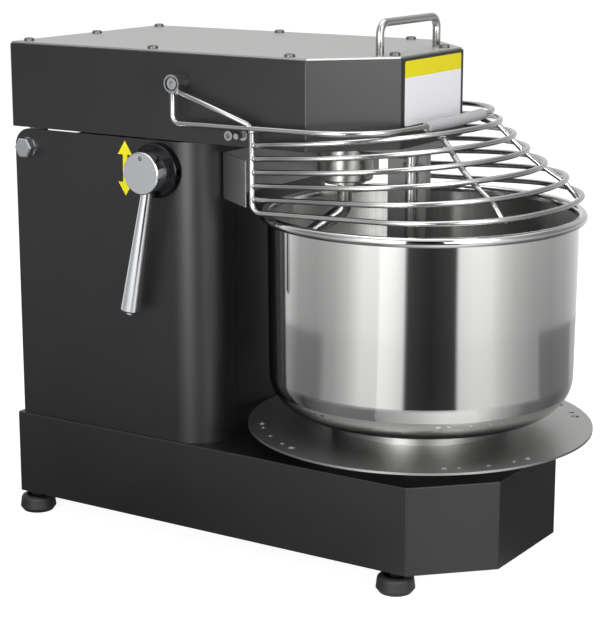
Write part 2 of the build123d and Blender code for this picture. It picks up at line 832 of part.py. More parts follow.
shank_top = 345.0
slinger_radius = 18.5
slinger_thickness = 2.6
slinger_low = housing_bottom - slinger_thickness - 0.5
with BuildPart() as spindle_shaft:
    with BuildSketch(Plane.XY.offset(slinger_low + slinger_thickness)):
        with Locations(spindle_axis):
            Circle(shaft_radius)
    extrude(amount=belt_high + 8 - housing_bottom)
    # a thin disc under the housing keeps flour out of the bearing
    with BuildSketch(Plane.XY.offset(slinger_low)):
        with Locations(spindle_axis):
            Circle(slinger_radius)
    extrude(amount=slinger_thickness)
    with BuildSketch(Plane.XY.offset(slinger_low)):
        with Locations(spindle_axis):
            Circle(spiral_rod)
    extrude(amount=shank_top - slinger_low, mode=Mode.SUBTRACT)
finish(spindle_shaft, "spindle_shaft")

# The spiral's arm slants down from its shank, bends into the coil and winds down to
# just above the bowl's bottom.
coil_bearing = radians(123)
coil_pitch = 90.0
elbow = 16.0
elbow_top = 311.0
arm_drop = 29.3
coil_run = sqrt((2 * pi * spiral_radius) ** 2 + coil_pitch ** 2)
coil_top = elbow_top - arm_drop - elbow * coil_pitch / coil_run
with BuildPart() as coil_hook:
    with BuildLine(Plane.XY.offset(coil_top).shift_origin((0, spindle_y, coil_top))) as coil:
        Helix(pitch=coil_pitch, height=coil_top - spiral_low, radius=spiral_radius,
              direction=(0, 0, -1))
    with BuildSketch(Plane(origin=coil.line @ 0, z_dir=coil.line % 0)):
        Circle(spiral_rod)
    sweep(is_frenet=True)
    coil_start = coil.line @ 0
    with BuildLine():
        FilletPolyline((0, spindle_y, shank_top), (0, spindle_y, elbow_top),
                       coil_start - (coil.line % 0) * elbow, coil_start, radius=13)
    with BuildSketch(Plane.XY.offset(shank_top)):
        with Locations(spindle_axis):
            Circle(spiral_rod)
    sweep()
    elbow_spot = coil_start - (coil.line % 0) * elbow
# the hook is turned about its shank until the elbow points to its resting side
elbow_bearing = atan2(elbow_spot.Y - spindle_y, elbow_spot.X)
with BuildPart() as spiral_hook:
    add(coil_hook.part.rotate(Axis((0, spindle_y, 0), (0, 0, 1)),
                              degrees(coil_bearing - elbow_bearing)))
finish(spiral_hook, "spiral_hook")

spindle_pulley = wheel(spindle_y, spindle_wheel, shaft_radius, belt_low - 0.5, belt_high - belt_low + 1,
                       17, 3)
finish(spindle_pulley, "spindle_pulley")
small_pulley = wheel(motor_y, motor_wheel, motor_shaft, belt_low - 0.5, belt_high - belt_low + 1, 10, 3)
with BuildPart() as motor_pulley:
    add(small_pulley.part)
    with BuildSketch(Plane.XY.offset(chassis_bottom - 20)):
        with Locations((0, motor_y)):
            Circle(motor_shaft)
    extrude(amount=belt_high + 8 - chassis_bottom + 20)
finish(motor_pulley, "motor_pulley")
spindle_belt = loop_sketch(spindle_y, spindle_wheel + belt_gap, motor_y, motor_wheel + belt_gap,
                           belt_low, 3, belt_high - belt_low)
finish(spindle_belt, "spindle_belt")

motor_low = 270.0
with BuildPart() as spiral_motor:
    with BuildSketch(Plane.XY.offset(motor_low)):
        with Locations((0, motor_y)):
            Circle(motor_radius)
    extrude(amount=chassis_bottom - motor_low)
    fillet(spiral_motor.faces().sort_by(Axis.Z)[0].edges(), radius=8)
    with BuildSketch(Plane.XY.offset(motor_low + 22)):
        with Locations((0, motor_y)):
            with PolarLocations(motor_radius, 28):
                Rectangle(5, 4)
    extrude(amount=62, mode=Mode.SUBTRACT)
    with BuildSketch(Plane.XY.offset(chassis_bottom - 21)):
        with Locations((0, motor_y)):
            Circle(motor_shaft + fit)
    extrude(amount=21, mode=Mode.SUBTRACT)
finish(spiral_motor, "spiral_motor")

# ================= dough breaker =================
bracket_low = 367.0
bracket_width = 72.0
bracket_depth = 50.0
breaker_y = -101.0
with BuildPart() as breaker_bracket:
    with BuildSketch(Plane.XY.offset(bracket_low)):
        with Locations((0, -93.5)):
            Rectangle(bracket_width, bracket_depth)
    extrude(amount=head_bottom - bracket_low)
    chamfer(breaker_bracket.faces().sort_by(Axis.Z)[0].edges(), length=4)
    with BuildSketch(Plane.XY.offset(head_bottom)):
        with Locations((0, -92)):
            Rectangle(bracket_width - 2, bracket_depth - 6)
    extrude(amount=chassis_bottom - head_bottom)
finish(breaker_bracket, "breaker_bracket")

# a folded channel whose web faces -X
web_low = 215.0
web_width = 39.0
channel_depth = 8.0
channel_sheet = 2.0
channel_side = (web_width - channel_sheet) / 2
with BuildPart() as breaker_bar:
    with BuildSketch(Plane.XY.offset(web_low)):
        with Locations(((channel_sheet - channel_depth) / 2, breaker_y)):
            Rectangle(channel_sheet, web_width)
        with Locations((0, breaker_y - channel_side), (0, breaker_y + channel_side)):
            Rectangle(channel_depth, channel_sheet)
    extrude(amount=bracket_low - web_low)
finish(breaker_bar, "breaker_bar")

rod_radius = 4.75
rod_x = -channel_depth / 2 - rod_radius
rod_y = -107.5
rod_low = 158.0
with BuildPart() as breaker_rod:
    with BuildSketch(Plane.XY.offset(rod_low)):
        with Locations((rod_x, rod_y)):
            Circle(rod_radius)
    extrude(amount=bracket_low - rod_low)
    fillet(breaker_rod.faces().sort_by(Axis.Z)[0].edges(), radius=3)
    with BuildSketch(Plane.XZ.offset(-rod_y + 7)):
        with Locations((rod_x, 357.7)):
            Circle(2)
    extrude(amount=-14)
finish(breaker_rod, "breaker_rod")

# ================= head lock =================

def side_plane(x, outward=True):
    """A plane across X at the lock's axis, facing out of the machine or into it."""
    return Plane(origin=(x, lock_y, lock_z), x_dir=(0, 1, 0),
                 z_dir=(-1 if outward else 1, 0, 0))


collar_radius = 24.5
collar_height = 8.0
with BuildPart() as lock_collar:
    with BuildSketch(side_plane(-column_half)):
        Circle(collar_radius)
    extrude(amount=collar_height)
    chamfer(lock_collar.faces().sort_by(Axis.X)[0].edges(), length=1)
    with BuildSketch(side_plane(-column_half, False)):
        Circle(collar_boss)
    extrude(amount=9)
    with BuildSketch(side_plane(-column_half - 9, False)):
        Circle(lock_pin + fit)
    extrude(amount=20, mode=Mode.SUBTRACT)
    with BuildSketch(Plane(origin=(-column_half - 4, lock_y - collar_radius, lock_z),
                           x_dir=(1, 0, 0), z_dir=(0, 1, 0))):
        Circle(2.6)
    extrude(amount=7, mode=Mode.SUBTRACT)
finish(lock_collar, "lock_collar")

hub_outer = -140.0
hub_inner = -column_half - collar_height - 0.3
hub_radius = 19.0
with BuildPart() as lock_hub:
    with BuildSketch(side_plane(hub_inner)):
        Circle(hub_radius)
    extrude(amount=hub_inner - hub_outer)
    fillet(lock_hub.faces().sort_by(Axis.X)[0].edges(), radius=1.2)
    with BuildSketch(side_plane(hub_inner, False)):
        Circle(lock_pin)
    extrude(amount=-94 - hub_inner)
    with BuildSketch(side_plane(hub_outer, False)):
        with Locations((0, 13.5)):
            Circle(2.2)
    extrude(amount=6, mode=Mode.SUBTRACT)
finish(lock_hub, "lock_hub")

arm_lean = radians(11)
arm_x = -131.0
arm_top_z = 333.5
arm_length = 113.0
arm_plane = Plane(origin=(arm_x, lock_y, arm_top_z), x_dir=(1, 0, 0),
                  z_dir=(0, sin(arm_lean), -cos(arm_lean)))
with BuildPart() as lock_lever:
    with Locations(arm_plane):
        Cone(5.2, 9, arm_length, align=(Align.CENTER, Align.CENTER, Align.MIN))
    fillet(lock_lever.faces().sort_by(Axis.Z)[0].edges(), radius=1.8)
    with Locations(arm_plane.offset(arm_length - 1)):
        Cylinder(3, 4, align=(Align.CENTER, Align.CENTER, Align.MIN))
    add(lock_hub.part, mode=Mode.SUBTRACT)
finish(lock_lever, "lock_lever")

# Inside, a hook on the lever's shaft swings over the striker's pin.
hook_inner = 21.6
hook_outer = 26.0
with BuildPart() as lock_hook:
    with BuildSketch(Plane(origin=(-101, lock_y, lock_z), x_dir=(0, 1, 0), z_dir=(1, 0, 0))):
        Circle(12.5)
        with BuildLine():
            inner_arc = CenterArc((0, 0), hook_inner, -80, 65)
            outer_arc = CenterArc((0, 0), hook_outer, -80, 65)
            Line(inner_arc @ 0, outer_arc @ 0)
            Line(inner_arc @ 1, outer_arc @ 1)
        make_face()
        with BuildLine():
            near_arc = CenterArc((0, 0), 11, -80, 20)
            far_arc = CenterArc((0, 0), hook_outer - 1, -80, 20)
            Line(near_arc @ 0, far_arc @ 0)
            Line(near_arc @ 1, far_arc @ 1)
        make_face()
        Circle(lock_pin, mode=Mode.SUBTRACT)
    extrude(amount=6)
finish(lock_hook, "lock_hook")

with BuildPart() as striker:
    with BuildSketch(Plane.YZ.offset(-90)):
        with Locations((lock_y, lock_z + striker_rise)):
            RectangleRounded(16, 14, 4)
        with Locations((lock_y, (lock_z + striker_rise + chassis_bottom) / 2)):
            Rectangle(16, chassis_bottom - lock_z - striker_rise)
    extrude(amount=4)
    with BuildSketch(Plane.YZ.offset(-102)):
        with Locations((lock_y, lock_z + striker_rise)):
            Circle(4)
    extrude(amount=12)
finish(striker, "striker")

# ================= wire guard =================
# Seven rings, each flat and bent from a straight side, a corner arc and a wide front
# arc. They lean outwards and forwards, and rise a little towards the front.
ring_heights = [guard_top_z] + [383.0 - guard_pitch * step for step in range(6)]
ring_reach = (144.4, 174.2, 188.4, 202.0, 218.9, 236.6, 251.1)
ring_rise = (1.3, 12.5, 12.7, 12.8, 12.5, 11.1, 7.4)
ring_straight = (60.0, 32.0, 44.0, 56.0, 80.0, 108.0, 124.0)
ring_corner = (61.0, 120.0, 120.0, 120.0, 112.0, 105.0, 104.0)
ring_depth = [sqrt((ring_reach[ring] + guard_side_y) ** 2 + ring_rise[ring] ** 2)
              for ring in range(7)]
weld_gap = 0.1


def front_radius(ring):
    """The radius of a ring's front arc, from its width, depth and corner radius."""
    bend_depth = ring_depth[ring] - ring_straight[ring]
    corner = ring_corner[ring]
    inset = guard_half - corner
    return (inset ** 2 + bend_depth ** 2 - corner ** 2) / (2 * (bend_depth - corner))


def corner_angle(ring):
    """How far a ring's corner arc turns before the front arc takes over, in degrees."""
    bend_depth = ring_depth[ring] - ring_straight[ring]
    return degrees(atan2(front_radius(ring) - bend_depth, guard_half - ring_corner[ring]))


def ring_plane(ring):
    """The sloping plane of a ring: x runs across and y runs forwards and up."""
    slope = atan2(ring_rise[ring], ring_reach[ring] + guard_side_y)
    return Plane(origin=(0, guard_side_y, ring_heights[ring]), x_dir=(1, 0, 0),
                 z_dir=(0, -sin(slope), -cos(slope)))


def draw_ring(ring, start):
    """Draw a ring's middle line, from its left side to its right side."""
    turn = corner_angle(ring)
    side = Line((-guard_half, start), (-guard_half, ring_straight[ring]))
    left = JernArc(start=side @ 1, tangent=side % 1, radius=ring_corner[ring], arc_size=-turn)
    front = JernArc(start=left @ 1, tangent=left % 1, radius=front_radius(ring),
                    arc_size=-2 * (90 - turn))
    right = JernArc(start=front @ 1, tangent=front % 1, radius=ring_corner[ring],
                    arc_size=-turn)
    Line(right @ 1, (guard_half, start))


def on_ring(ring, x):
    """The front point of one ring at a given distance from the middle plane."""
    bend_depth = ring_depth[ring] - ring_straight[ring]
    radius = front_radius(ring)
    if abs(x) < radius * cos(radians(corner_angle(ring))):
        forward = bend_depth - radius + sqrt(radius ** 2 - x ** 2)
    else:
        beyond = abs(x) - (guard_half - ring_corner[ring])
        forward = sqrt(ring_corner[ring] ** 2 - beyond ** 2)
    return ring_plane(ring).from_local_coords(Vector(x, ring_straight[ring] + forward, 0))


# The top ring and both arms are one bent wire.
arm_y = guard_hinge_y + 0.8
bush_radius = 8.0
arm_top = guard_hinge_z - bush_radius
frame_plane = ring_plane(0)
arm_corner = frame_plane.from_local_coords(Vector(guard_half, guard_side_y - arm_y, 0))
frame_start = frame_plane.from_local_coords(Vector(guard_half, 0, 0))
with BuildPart() as guard_frame:
    with BuildLine():
        FilletPolyline((-guard_half, arm_y, arm_top), (-guard_half, arm_corner.Y, arm_corner.Z),
                       (-guard_half, frame_start.Y, frame_start.Z), radius=7)
        FilletPolyline((guard_half, arm_y, arm_top), arm_corner, frame_start, radius=7)
    with BuildLine(frame_plane):
        draw_ring(0, 0)
    with BuildSketch(Plane(origin=(-guard_half, arm_y, arm_top), z_dir=(0, 0, -1))):
        Circle(wire)
    sweep()
finish(guard_frame, "guard_frame")

# The lowest ring turns up at both ends into the side bars.
low_plane = ring_plane(6)
low_start = 20.0
bar_top = guard_top_z - wire - weld_gap
with BuildPart() as guard_lower_ring:
    with BuildLine():
        for side in (-1, 1):
            low_corner = low_plane.from_local_coords(Vector(side * guard_half, 0, 0))
            ring_start = low_plane.from_local_coords(Vector(side * guard_half, low_start, 0))
            FilletPolyline((side * guard_half, guard_side_y, bar_top), low_corner, ring_start,
                           radius=8.5)
    with BuildLine(low_plane):
        draw_ring(6, low_start)
    with BuildSketch(Plane(origin=(-guard_half, guard_side_y, bar_top), z_dir=(0, 0, -1))):
        Circle(wire)
    sweep()
finish(guard_lower_ring, "guard_lower_ring")

# The five rings between them end flat against the side bars.
middle_rings = []
for ring in range(1, 6):
    with BuildPart() as one_ring:
        with BuildLine(ring_plane(ring)) as ring_line:
            draw_ring(ring, wire + 4 * weld_gap)
        with BuildSketch(Plane(origin=ring_line.line @ 0, z_dir=ring_line.line % 0)):
            Circle(wire)
        sweep()
    middle_rings.append(one_ring.part)
finish_group(middle_rings, "guard_rings")


def under_ring(ring, x, before, after):
    """The point just under a ring where a wire running from before to after touches it."""
    run = (after - before).normalized()
    tangent = (on_ring(ring, x + 1) - on_ring(ring, x - 1)).normalized()
    away = tangent.cross(run).normalized()
    if away.Z > 0:
        away = away * -1
    return on_ring(ring, x) + away * (2 * wire + weld_gap)


# Two long wires run under all the rings in front, and a brace stiffens each arm.
long_wires = []
for top_x, low_x in ((-47, -74), (61, 78)):
    columns = [top_x + (low_x - top_x) * ring / 6 for ring in range(7)]
    crossings = [on_ring(ring, columns[ring]) for ring in range(7)]
    under = []
    for ring in range(7):
        before = crossings[max(ring - 1, 0)]
        after = crossings[min(ring + 1, 6)]
        under.append(under_ring(ring, columns[ring], before, after))
    with BuildPart() as long_wire:
        with BuildLine() as long_path:
            FilletPolyline(*under, radius=9)
        with BuildSketch(Plane(origin=long_path.line @ 0, z_dir=long_path.line % 0)):
            Circle(wire)
        sweep()
    long_wires.append(long_wire.part)
with BuildPart() as guard_braces:
    for side in (-1, 1):
        strut_top = Vector(side * guard_half, guard_hinge_y - 4.0, guard_hinge_z - 6.3)
        strut_low = Vector(side * guard_half, guard_side_y + 1.5, guard_top_z + 3)
        with BuildSketch(Plane(origin=strut_top, z_dir=strut_low - strut_top)):
            Circle(wire)
        extrude(amount=(strut_low - strut_top).length)
        # the ends are shaped to the bush and to the wire below
        with Locations(Plane(origin=(side * guard_half, guard_hinge_y, guard_hinge_z),
                             z_dir=(1, 0, 0))):
            Cylinder(bush_radius, 20, mode=Mode.SUBTRACT)
        with Locations(Plane(origin=frame_plane.origin + (side * guard_half, 0, 0),
                             z_dir=frame_plane.y_dir)):
            Cylinder(wire, 120, mode=Mode.SUBTRACT)
        with Locations((side * guard_half, arm_y, arm_top)):
            Cylinder(wire, 60, mode=Mode.SUBTRACT)
finish_group(long_wires + list(guard_braces.solids()), "guard_struts")

# Each arm is welded to a bush that turns on a shouldered screw in the head's side.
bush_inner = head_half + 0.4
bush_outer = 131.0
bush_pocket = 5.5
screw_seat = bush_outer - bush_pocket + 0.3
with BuildPart() as guard_bushes:
    for side in (-1, 1):
        with BuildSketch(Plane(origin=(side * bush_inner, guard_hinge_y, guard_hinge_z),
                               x_dir=(0, 1, 0), z_dir=(side, 0, 0))):
            Circle(bush_radius)
            Circle(guard_pivot + fit, mode=Mode.SUBTRACT)
        extrude(amount=bush_outer - bush_inner)
        with BuildSketch(Plane(origin=(side * bush_outer, guard_hinge_y, guard_hinge_z),
                               x_dir=(0, 1, 0), z_dir=(-side, 0, 0))):
            Circle(6.6)
        extrude(amount=bush_pocket, mode=Mode.SUBTRACT)
finish(guard_bushes, "guard_bushes")

with BuildPart() as guard_screws:
    for side in (-1, 1):
        with BuildSketch(Plane(origin=(side * screw_seat, guard_hinge_y, guard_hinge_z),
                               x_dir=(0, 1, 0), z_dir=(side, 0, 0))):
            Circle(4.9)
        extrude(amount=4.7)
        with BuildSketch(Plane(origin=(side * screw_seat, guard_hinge_y, guard_hinge_z),
                               x_dir=(0, 1, 0), z_dir=(-side, 0, 0))):
            Circle(guard_pivot)
        extrude(amount=screw_seat - head_half + 8)
        with BuildSketch(Plane(origin=(side * bush_outer, guard_hinge_y, guard_hinge_z),
                               x_dir=(0, 1, 0), z_dir=(-side, 0, 0))):
            RegularPolygon(2.6, 6, major_radius=False)
        extrude(amount=3.5, mode=Mode.SUBTRACT)
finish(guard_screws, "guard_screws")

# A soft sleeve covers the top ring's front arc, between the two long wires.
sleeve_left = on_ring(0, -44)
sleeve_right = on_ring(0, 58)
sleeve_middle = frame_plane.from_local_coords(Vector(0, ring_depth[0] - front_radius(0), 0))
sleeve_axis = Axis(sleeve_middle, frame_plane.z_dir * -1)
to_left = sleeve_left - sleeve_middle
to_right = sleeve_right - sleeve_middle
with BuildPart() as grip_sleeve:
    with BuildSketch(Plane(origin=sleeve_left, z_dir=to_left.cross(frame_plane.z_dir))):
        Circle(5)
        Circle(wire + fit, mode=Mode.SUBTRACT)
    revolve(axis=sleeve_axis, revolution_arc=to_left.get_angle(to_right))
finish(grip_sleeve, "grip_sleeve")

# Under each arm a socket screw and a slim pin stand out of the head and stop the guard.
stop_z = 388.8
screw_forward = 6.3
pin_forward = -1.8
with BuildPart() as guard_stops:
    for side in (-1, 1):
        stop_plane = Plane(origin=(side * head_half, 0, stop_z), x_dir=(0, side, 0),
                           z_dir=(side, 0, 0))
        with BuildSketch(stop_plane):
            with Locations((side * screw_forward, 0)):
                Circle(2.5)
        extrude(amount=11.5)
        with BuildSketch(stop_plane.offset(7)):
            with Locations((side * screw_forward, 0)):
                Circle(4.2)
        extrude(amount=4.8)
        with BuildSketch(stop_plane.offset(9)):
            with Locations((side * screw_forward, 0)):
                RegularPolygon(2.4, 6, major_radius=False)
        extrude(amount=4, mode=Mode.SUBTRACT)
        with BuildSketch(stop_plane):
            with Locations((side * pin_forward, 0)):
                Circle(4.8)
        extrude(amount=1.4)
        with BuildSketch(stop_plane):
            with Locations((side * pin_forward, 0)):
                Circle(2.6)
        extrude(amount=12)
finish(guard_stops, "guard_stops")

# ================= controls on the far side =================
panel_thickness = 1.6
panel_face = column_half + panel_thickness
button_radius = 8.2
with BuildPart() as control_panel:
    with BuildSketch(Plane.YZ.offset(column_half)):
        with Locations((control_y, panel_z)):
            RectangleRounded(96, 130, 6)
        with Locations((control_y, timer_z)):
            Circle(knob_stem + fit, mode=Mode.SUBTRACT)
        with Locations((start_y, button_z), (stop_y, button_z)):
            Circle(button_radius + 0.3, mode=Mode.SUBTRACT)
    extrude(amount=panel_thickness)
finish(control_panel, "control_panel")

with BuildPart() as timer_knob:
    with BuildSketch(Plane.YZ.offset(panel_face + 0.3)):
        with Locations((control_y, timer_z)):
            Circle(19)
    extrude(amount=4)
    with BuildSketch(Plane.YZ.offset(panel_face + 4.3)):
        with Locations((control_y, timer_z)):
            Circle(14)
    extrude(amount=13, taper=3)
    fillet(timer_knob.faces().sort_by(Axis.X)[-1].edges(), radius=1.5)
    with BuildSketch(Plane.YZ.offset(panel_face + 17.3)):
        with Locations((control_y, timer_z + 8)):
            SlotOverall(12, 1.6, rotation=90)
    extrude(amount=-1, mode=Mode.SUBTRACT)
    with BuildSketch(Plane.YZ.offset(column_half - 7)):
        with Locations((control_y, timer_z)):
            Circle(knob_stem)
    extrude(amount=panel_thickness + 8)
finish(timer_knob, "timer_knob")


def push_button(y):
    """A push button's cap and stem; the stem runs through the column's wall."""
    with BuildPart() as button:
        with BuildSketch(Plane.YZ.offset(column_half - 5)):
            with Locations((y, button_z)):
                Circle(button_radius)
        extrude(amount=panel_thickness + 5 + 7)
        fillet(button.faces().sort_by(Axis.X)[-1].edges(), radius=1.5)
    return button


start_button = push_button(start_y)
finish(start_button, "start_button")
stop_button = push_button(stop_y)
finish(stop_button, "stop_button")

with BuildPart() as control_board:
    with BuildSketch(Plane.YZ.offset(column_half - 14)):
        with Locations((control_y, panel_z)):
            Rectangle(80, 110)
            with GridLocations(70, 100, 2, 2):
                Circle(2, mode=Mode.SUBTRACT)
    extrude(amount=1.6)
    with BuildSketch(Plane.YZ.offset(column_half - 12.4)):
        with Locations((control_y, panel_z)):
            with GridLocations(70, 100, 2, 2):
                Circle(3.5)
    extrude(amount=12.4 - sheet)
    with BuildSketch(Plane.YZ.offset(column_half - 12.4)):
        with Locations((control_y, timer_z)):
            Rectangle(24, 24)
    extrude(amount=4.8)
finish(control_board, "control_board")
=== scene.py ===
# %% [markdown]
# A bench-top spiral dough mixer: a black powder-coated body, a head that tilts back, a
# polished bowl on a turntable and a welded wire guard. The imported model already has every
# solid in its place, so this lesson gives each of them the finish it really has, adds the
# small things that a machinist leaves behind, such as weld beads, and lights the whole
# like a catalogue picture.

# %% Load the frame
import math

import bmesh
import bpy
import numpy as np
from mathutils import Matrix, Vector


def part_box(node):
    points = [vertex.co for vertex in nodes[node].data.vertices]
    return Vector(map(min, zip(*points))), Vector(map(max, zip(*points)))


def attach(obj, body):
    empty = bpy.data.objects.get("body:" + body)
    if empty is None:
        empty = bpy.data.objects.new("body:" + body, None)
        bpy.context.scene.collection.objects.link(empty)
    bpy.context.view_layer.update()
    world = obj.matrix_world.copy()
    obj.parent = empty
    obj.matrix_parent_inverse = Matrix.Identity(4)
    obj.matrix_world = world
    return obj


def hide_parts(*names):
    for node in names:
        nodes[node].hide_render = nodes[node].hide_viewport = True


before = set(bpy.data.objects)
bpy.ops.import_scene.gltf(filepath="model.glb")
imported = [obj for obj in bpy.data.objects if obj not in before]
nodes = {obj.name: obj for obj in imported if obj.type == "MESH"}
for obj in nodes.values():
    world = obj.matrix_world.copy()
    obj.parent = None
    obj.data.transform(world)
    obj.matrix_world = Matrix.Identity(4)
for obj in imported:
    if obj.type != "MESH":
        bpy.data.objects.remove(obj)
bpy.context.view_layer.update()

# %% [markdown]
# Colours are picked as a painter would name them, in sRGB hex, but a renderer adds light
# in linear values, so one function converts them. Another adds one shader node together
# with its settings and links, which keeps each material to a few lines. Lengths in a scene
# are metres, while the grain of a finish is easier to say in millimetres.

# %% Colour and node helpers
MM_PER_METRE = 1000.0
# a Mix node has sockets for numbers, vectors and colours: these are the colours' numbers
FACTOR, COLOUR_A, COLOUR_B, MIXED = 0, 6, 7, 2


def linear(code):
    """An sRGB hex colour as linear RGBA: c/12.92 up to 0.04045, else ((c+0.055)/1.055)^2.4."""
    parts = [int(code[i:i + 2], 16) / 255 for i in (1, 3, 5)]
    bright = [c / 12.92 if c <= 0.04045 else ((c + 0.055) / 1.055) ** 2.4 for c in parts]
    return (*bright, 1.0)


def add_node(tree, kind, settings):
    """Add one node. A socket is linked to an input, a plain value set on an input or property."""
    node = tree.nodes.new(kind)
    for key, value in settings.items():
        if isinstance(value, bpy.types.NodeSocket):
            tree.links.new(value, node.inputs[key])
        elif isinstance(key, str) and key not in node.inputs:
            setattr(node, key, value)
        else:
            node.inputs[key].default_value = value
    return node


print("half grey #808080 is", round(linear("#808080")[0], 3), "in linear light")

# %% [markdown]
# Each finish starts as one Principled shader with plain values. Real surfaces are never
# that even, so a noise then moves the gloss and the colour a little, or raises tiny bumps.
# The noises live in the object's own metres, so they ride along when a piece moves.

# %% Material helpers


def new_material(name, colour, metallic, roughness, **sockets):
    """A material with one Principled shader set to plain values, ready for its details."""
    material = bpy.data.materials.new(name)
    material.use_nodes = True
    tree = material.node_tree
    shader = tree.nodes["Principled BSDF"]
    plain = {"Base Color": linear(colour), "Metallic": metallic, "Roughness": roughness}
    for socket, value in {**plain, **sockets}.items():
        shader.inputs[socket].default_value = value
    return material, tree, shader


def object_place(tree, scale=(1.0, 1.0, 1.0), location=(0.0, 0.0, 0.0)):
    """Object coordinates in metres, moved and stretched by a Mapping node."""
    place = add_node(tree, "ShaderNodeTexCoord", {}).outputs["Object"]
    return add_node(tree, "ShaderNodeMapping",
                    {"Location": location, "Scale": scale, "Vector": place}).outputs["Vector"]


def uneven(tree, shader, grey, gloss=None, tones=None, bumps=None):
    """Let a texture's grey vary a finish.

    Gloss is the lowest and the highest roughness, tones are two sRGB hex colours, and
    bumps are a strength and a depth in metres.
    """
    if gloss:
        rough = add_node(tree, "ShaderNodeMapRange",
                         {"To Min": gloss[0], "To Max": gloss[1], "Value": grey})
        tree.links.new(rough.outputs["Result"], shader.inputs["Roughness"])
    if tones:
        tone = add_node(tree, "ShaderNodeMix",
                        {"data_type": "RGBA", FACTOR: grey, COLOUR_A: linear(tones[0]),
                         COLOUR_B: linear(tones[1])})
        tree.links.new(tone.outputs[MIXED], shader.inputs["Base Color"])
    if bumps:
        bump = add_node(tree, "ShaderNodeBump",
                        {"Strength": bumps[0], "Distance": bumps[1], "Height": grey})
        tree.links.new(bump.outputs["Normal"], shader.inputs["Normal"])


def finish_with(material, *names):
    """Give CAD nodes this material in every slot."""
    for name in names:
        slots = nodes[name].data.materials
        if len(slots) == 0:
            slots.append(material)
        for index in range(len(slots)):
            slots[index] = material
    print(material.name, "on", len(names), "nodes")


slot_count = sum(len(node.data.materials) for node in nodes.values())
print(slot_count, "material slots on the packed solids")

# %% [markdown]
# The body is folded sheet steel with a black polyester powder coat. The powder melts in
# an oven and flows almost level, but keeps a fine orange peel about a millimetre across,
# so its gloss is soft. The coat is a plastic, with an IOR of 1.5 and no metal in it. The
# peel is far too fine for geometry, so a noise in the bump draws it, and a second noise,
# some 60 mm wide, lets tone and gloss wander a little as they do over a real panel.

# %% Powder coat
PEEL_GRAIN, CLOUD_GRAIN = 0.9, 60  # mm
PEEL_DEPTH = 0.00008
powder_coat, tree, shader = new_material("powder_coated_steel_black", "#131314", 0.0, 0.41,
                                         IOR=1.5)
place = object_place(tree)
peel = add_node(tree, "ShaderNodeTexNoise",
                {"Scale": MM_PER_METRE / PEEL_GRAIN, "Detail": 2.0, "Vector": place})
cloud = add_node(tree, "ShaderNodeTexNoise",
                 {"Scale": MM_PER_METRE / CLOUD_GRAIN, "Detail": 3.0, "Vector": place})
uneven(tree, shader, cloud.outputs["Fac"], gloss=(0.36, 0.45), tones=("#121213", "#151516"))
uneven(tree, shader, peel.outputs["Fac"], bumps=(0.25, PEEL_DEPTH))
finish_with(powder_coat, "base_shell", "column_shell", "head_shell", "column_back_cover")

# %% [markdown]
# A fold in 2 mm sheet can't be sharp: the outside of each bend is round. The solids have
# sharp corners there, so the three painted shells get a copy whose long outer folds are
# rounded by a Bevel modifier. The copy is merged first, and its flat triangles are joined
# into whole faces, so that the bevel runs only along the folds. Small faces keep their
# corners: they are cut edges of the sheet.

# %% Rounded folds
FOLD_RADIUS = 0.0018
FOLD_LENGTH = 0.03
FOLD_ANGLE = math.radians(30)
FACE_AREA = 0.0012
SAME_POINT = 1e-6
FLAT_ANGLE = math.radians(0.4)
SHARP_ANGLE = math.radians(25)


def fold_edges(node, body):
    """Copy a shell, merge it, and round its long outward folds with a Bevel modifier."""
    shape = bmesh.new()
    shape.from_mesh(nodes[node].data)
    bmesh.ops.remove_doubles(shape, verts=shape.verts, dist=SAME_POINT)
    bmesh.ops.dissolve_limit(shape, angle_limit=FLAT_ANGLE, verts=shape.verts,
                             edges=shape.edges)
    weight = shape.edges.layers.float.new("bevel_weight_edge")
    folds = [edge for edge in shape.edges if len(edge.link_faces) == 2 and edge.is_convex
             and edge.calc_length() > FOLD_LENGTH and edge.calc_face_angle() > FOLD_ANGLE
             and min(face.calc_area() for face in edge.link_faces) > FACE_AREA]
    for edge in folds:
        edge[weight] = 1.0
    mesh = bpy.data.meshes.new(node + "_folded")
    shape.to_mesh(mesh)
    shape.free()
    old_normals = mesh.attributes.get("custom_normal")
    if old_normals is not None:
        mesh.attributes.remove(old_normals)
    mesh.polygons.foreach_set("use_smooth", np.ones(len(mesh.polygons), dtype=bool))
    mesh.set_sharp_from_angle(angle=SHARP_ANGLE)
    mesh.materials.append(powder_coat)
    piece = bpy.data.objects.new(node + "_folded", mesh)
    bpy.context.collection.objects.link(piece)
    bevel = piece.modifiers.new("fold", "BEVEL")
    bevel.width = FOLD_RADIUS
    bevel.segments = 3
    bevel.limit_method = "WEIGHT"
    bevel.harden_normals = True
    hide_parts(node)
    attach(piece, body)
    print(node, len(folds), "folds rounded")


for node, body in (("base_shell", "base"), ("column_shell", "base"), ("head_shell", "head")):
    fold_edges(node, body)

# %% [markdown]
# The cover on the head and the splash shield are stainless sheet with a ground finish:
# a belt of fine grit drags thousands of parallel scratches along one direction. A noise
# that is stretched a hundred times along the scratches gives both the streaks in the
# gloss and the tiny ridges, and unlike a picture of scratches it never repeats. Real
# scratches are about 0.05 mm wide, too fine to show, so they are drawn 0.4 mm wide.

# %% Ground stainless sheet
SCRATCH_DEPTH = 0.00003


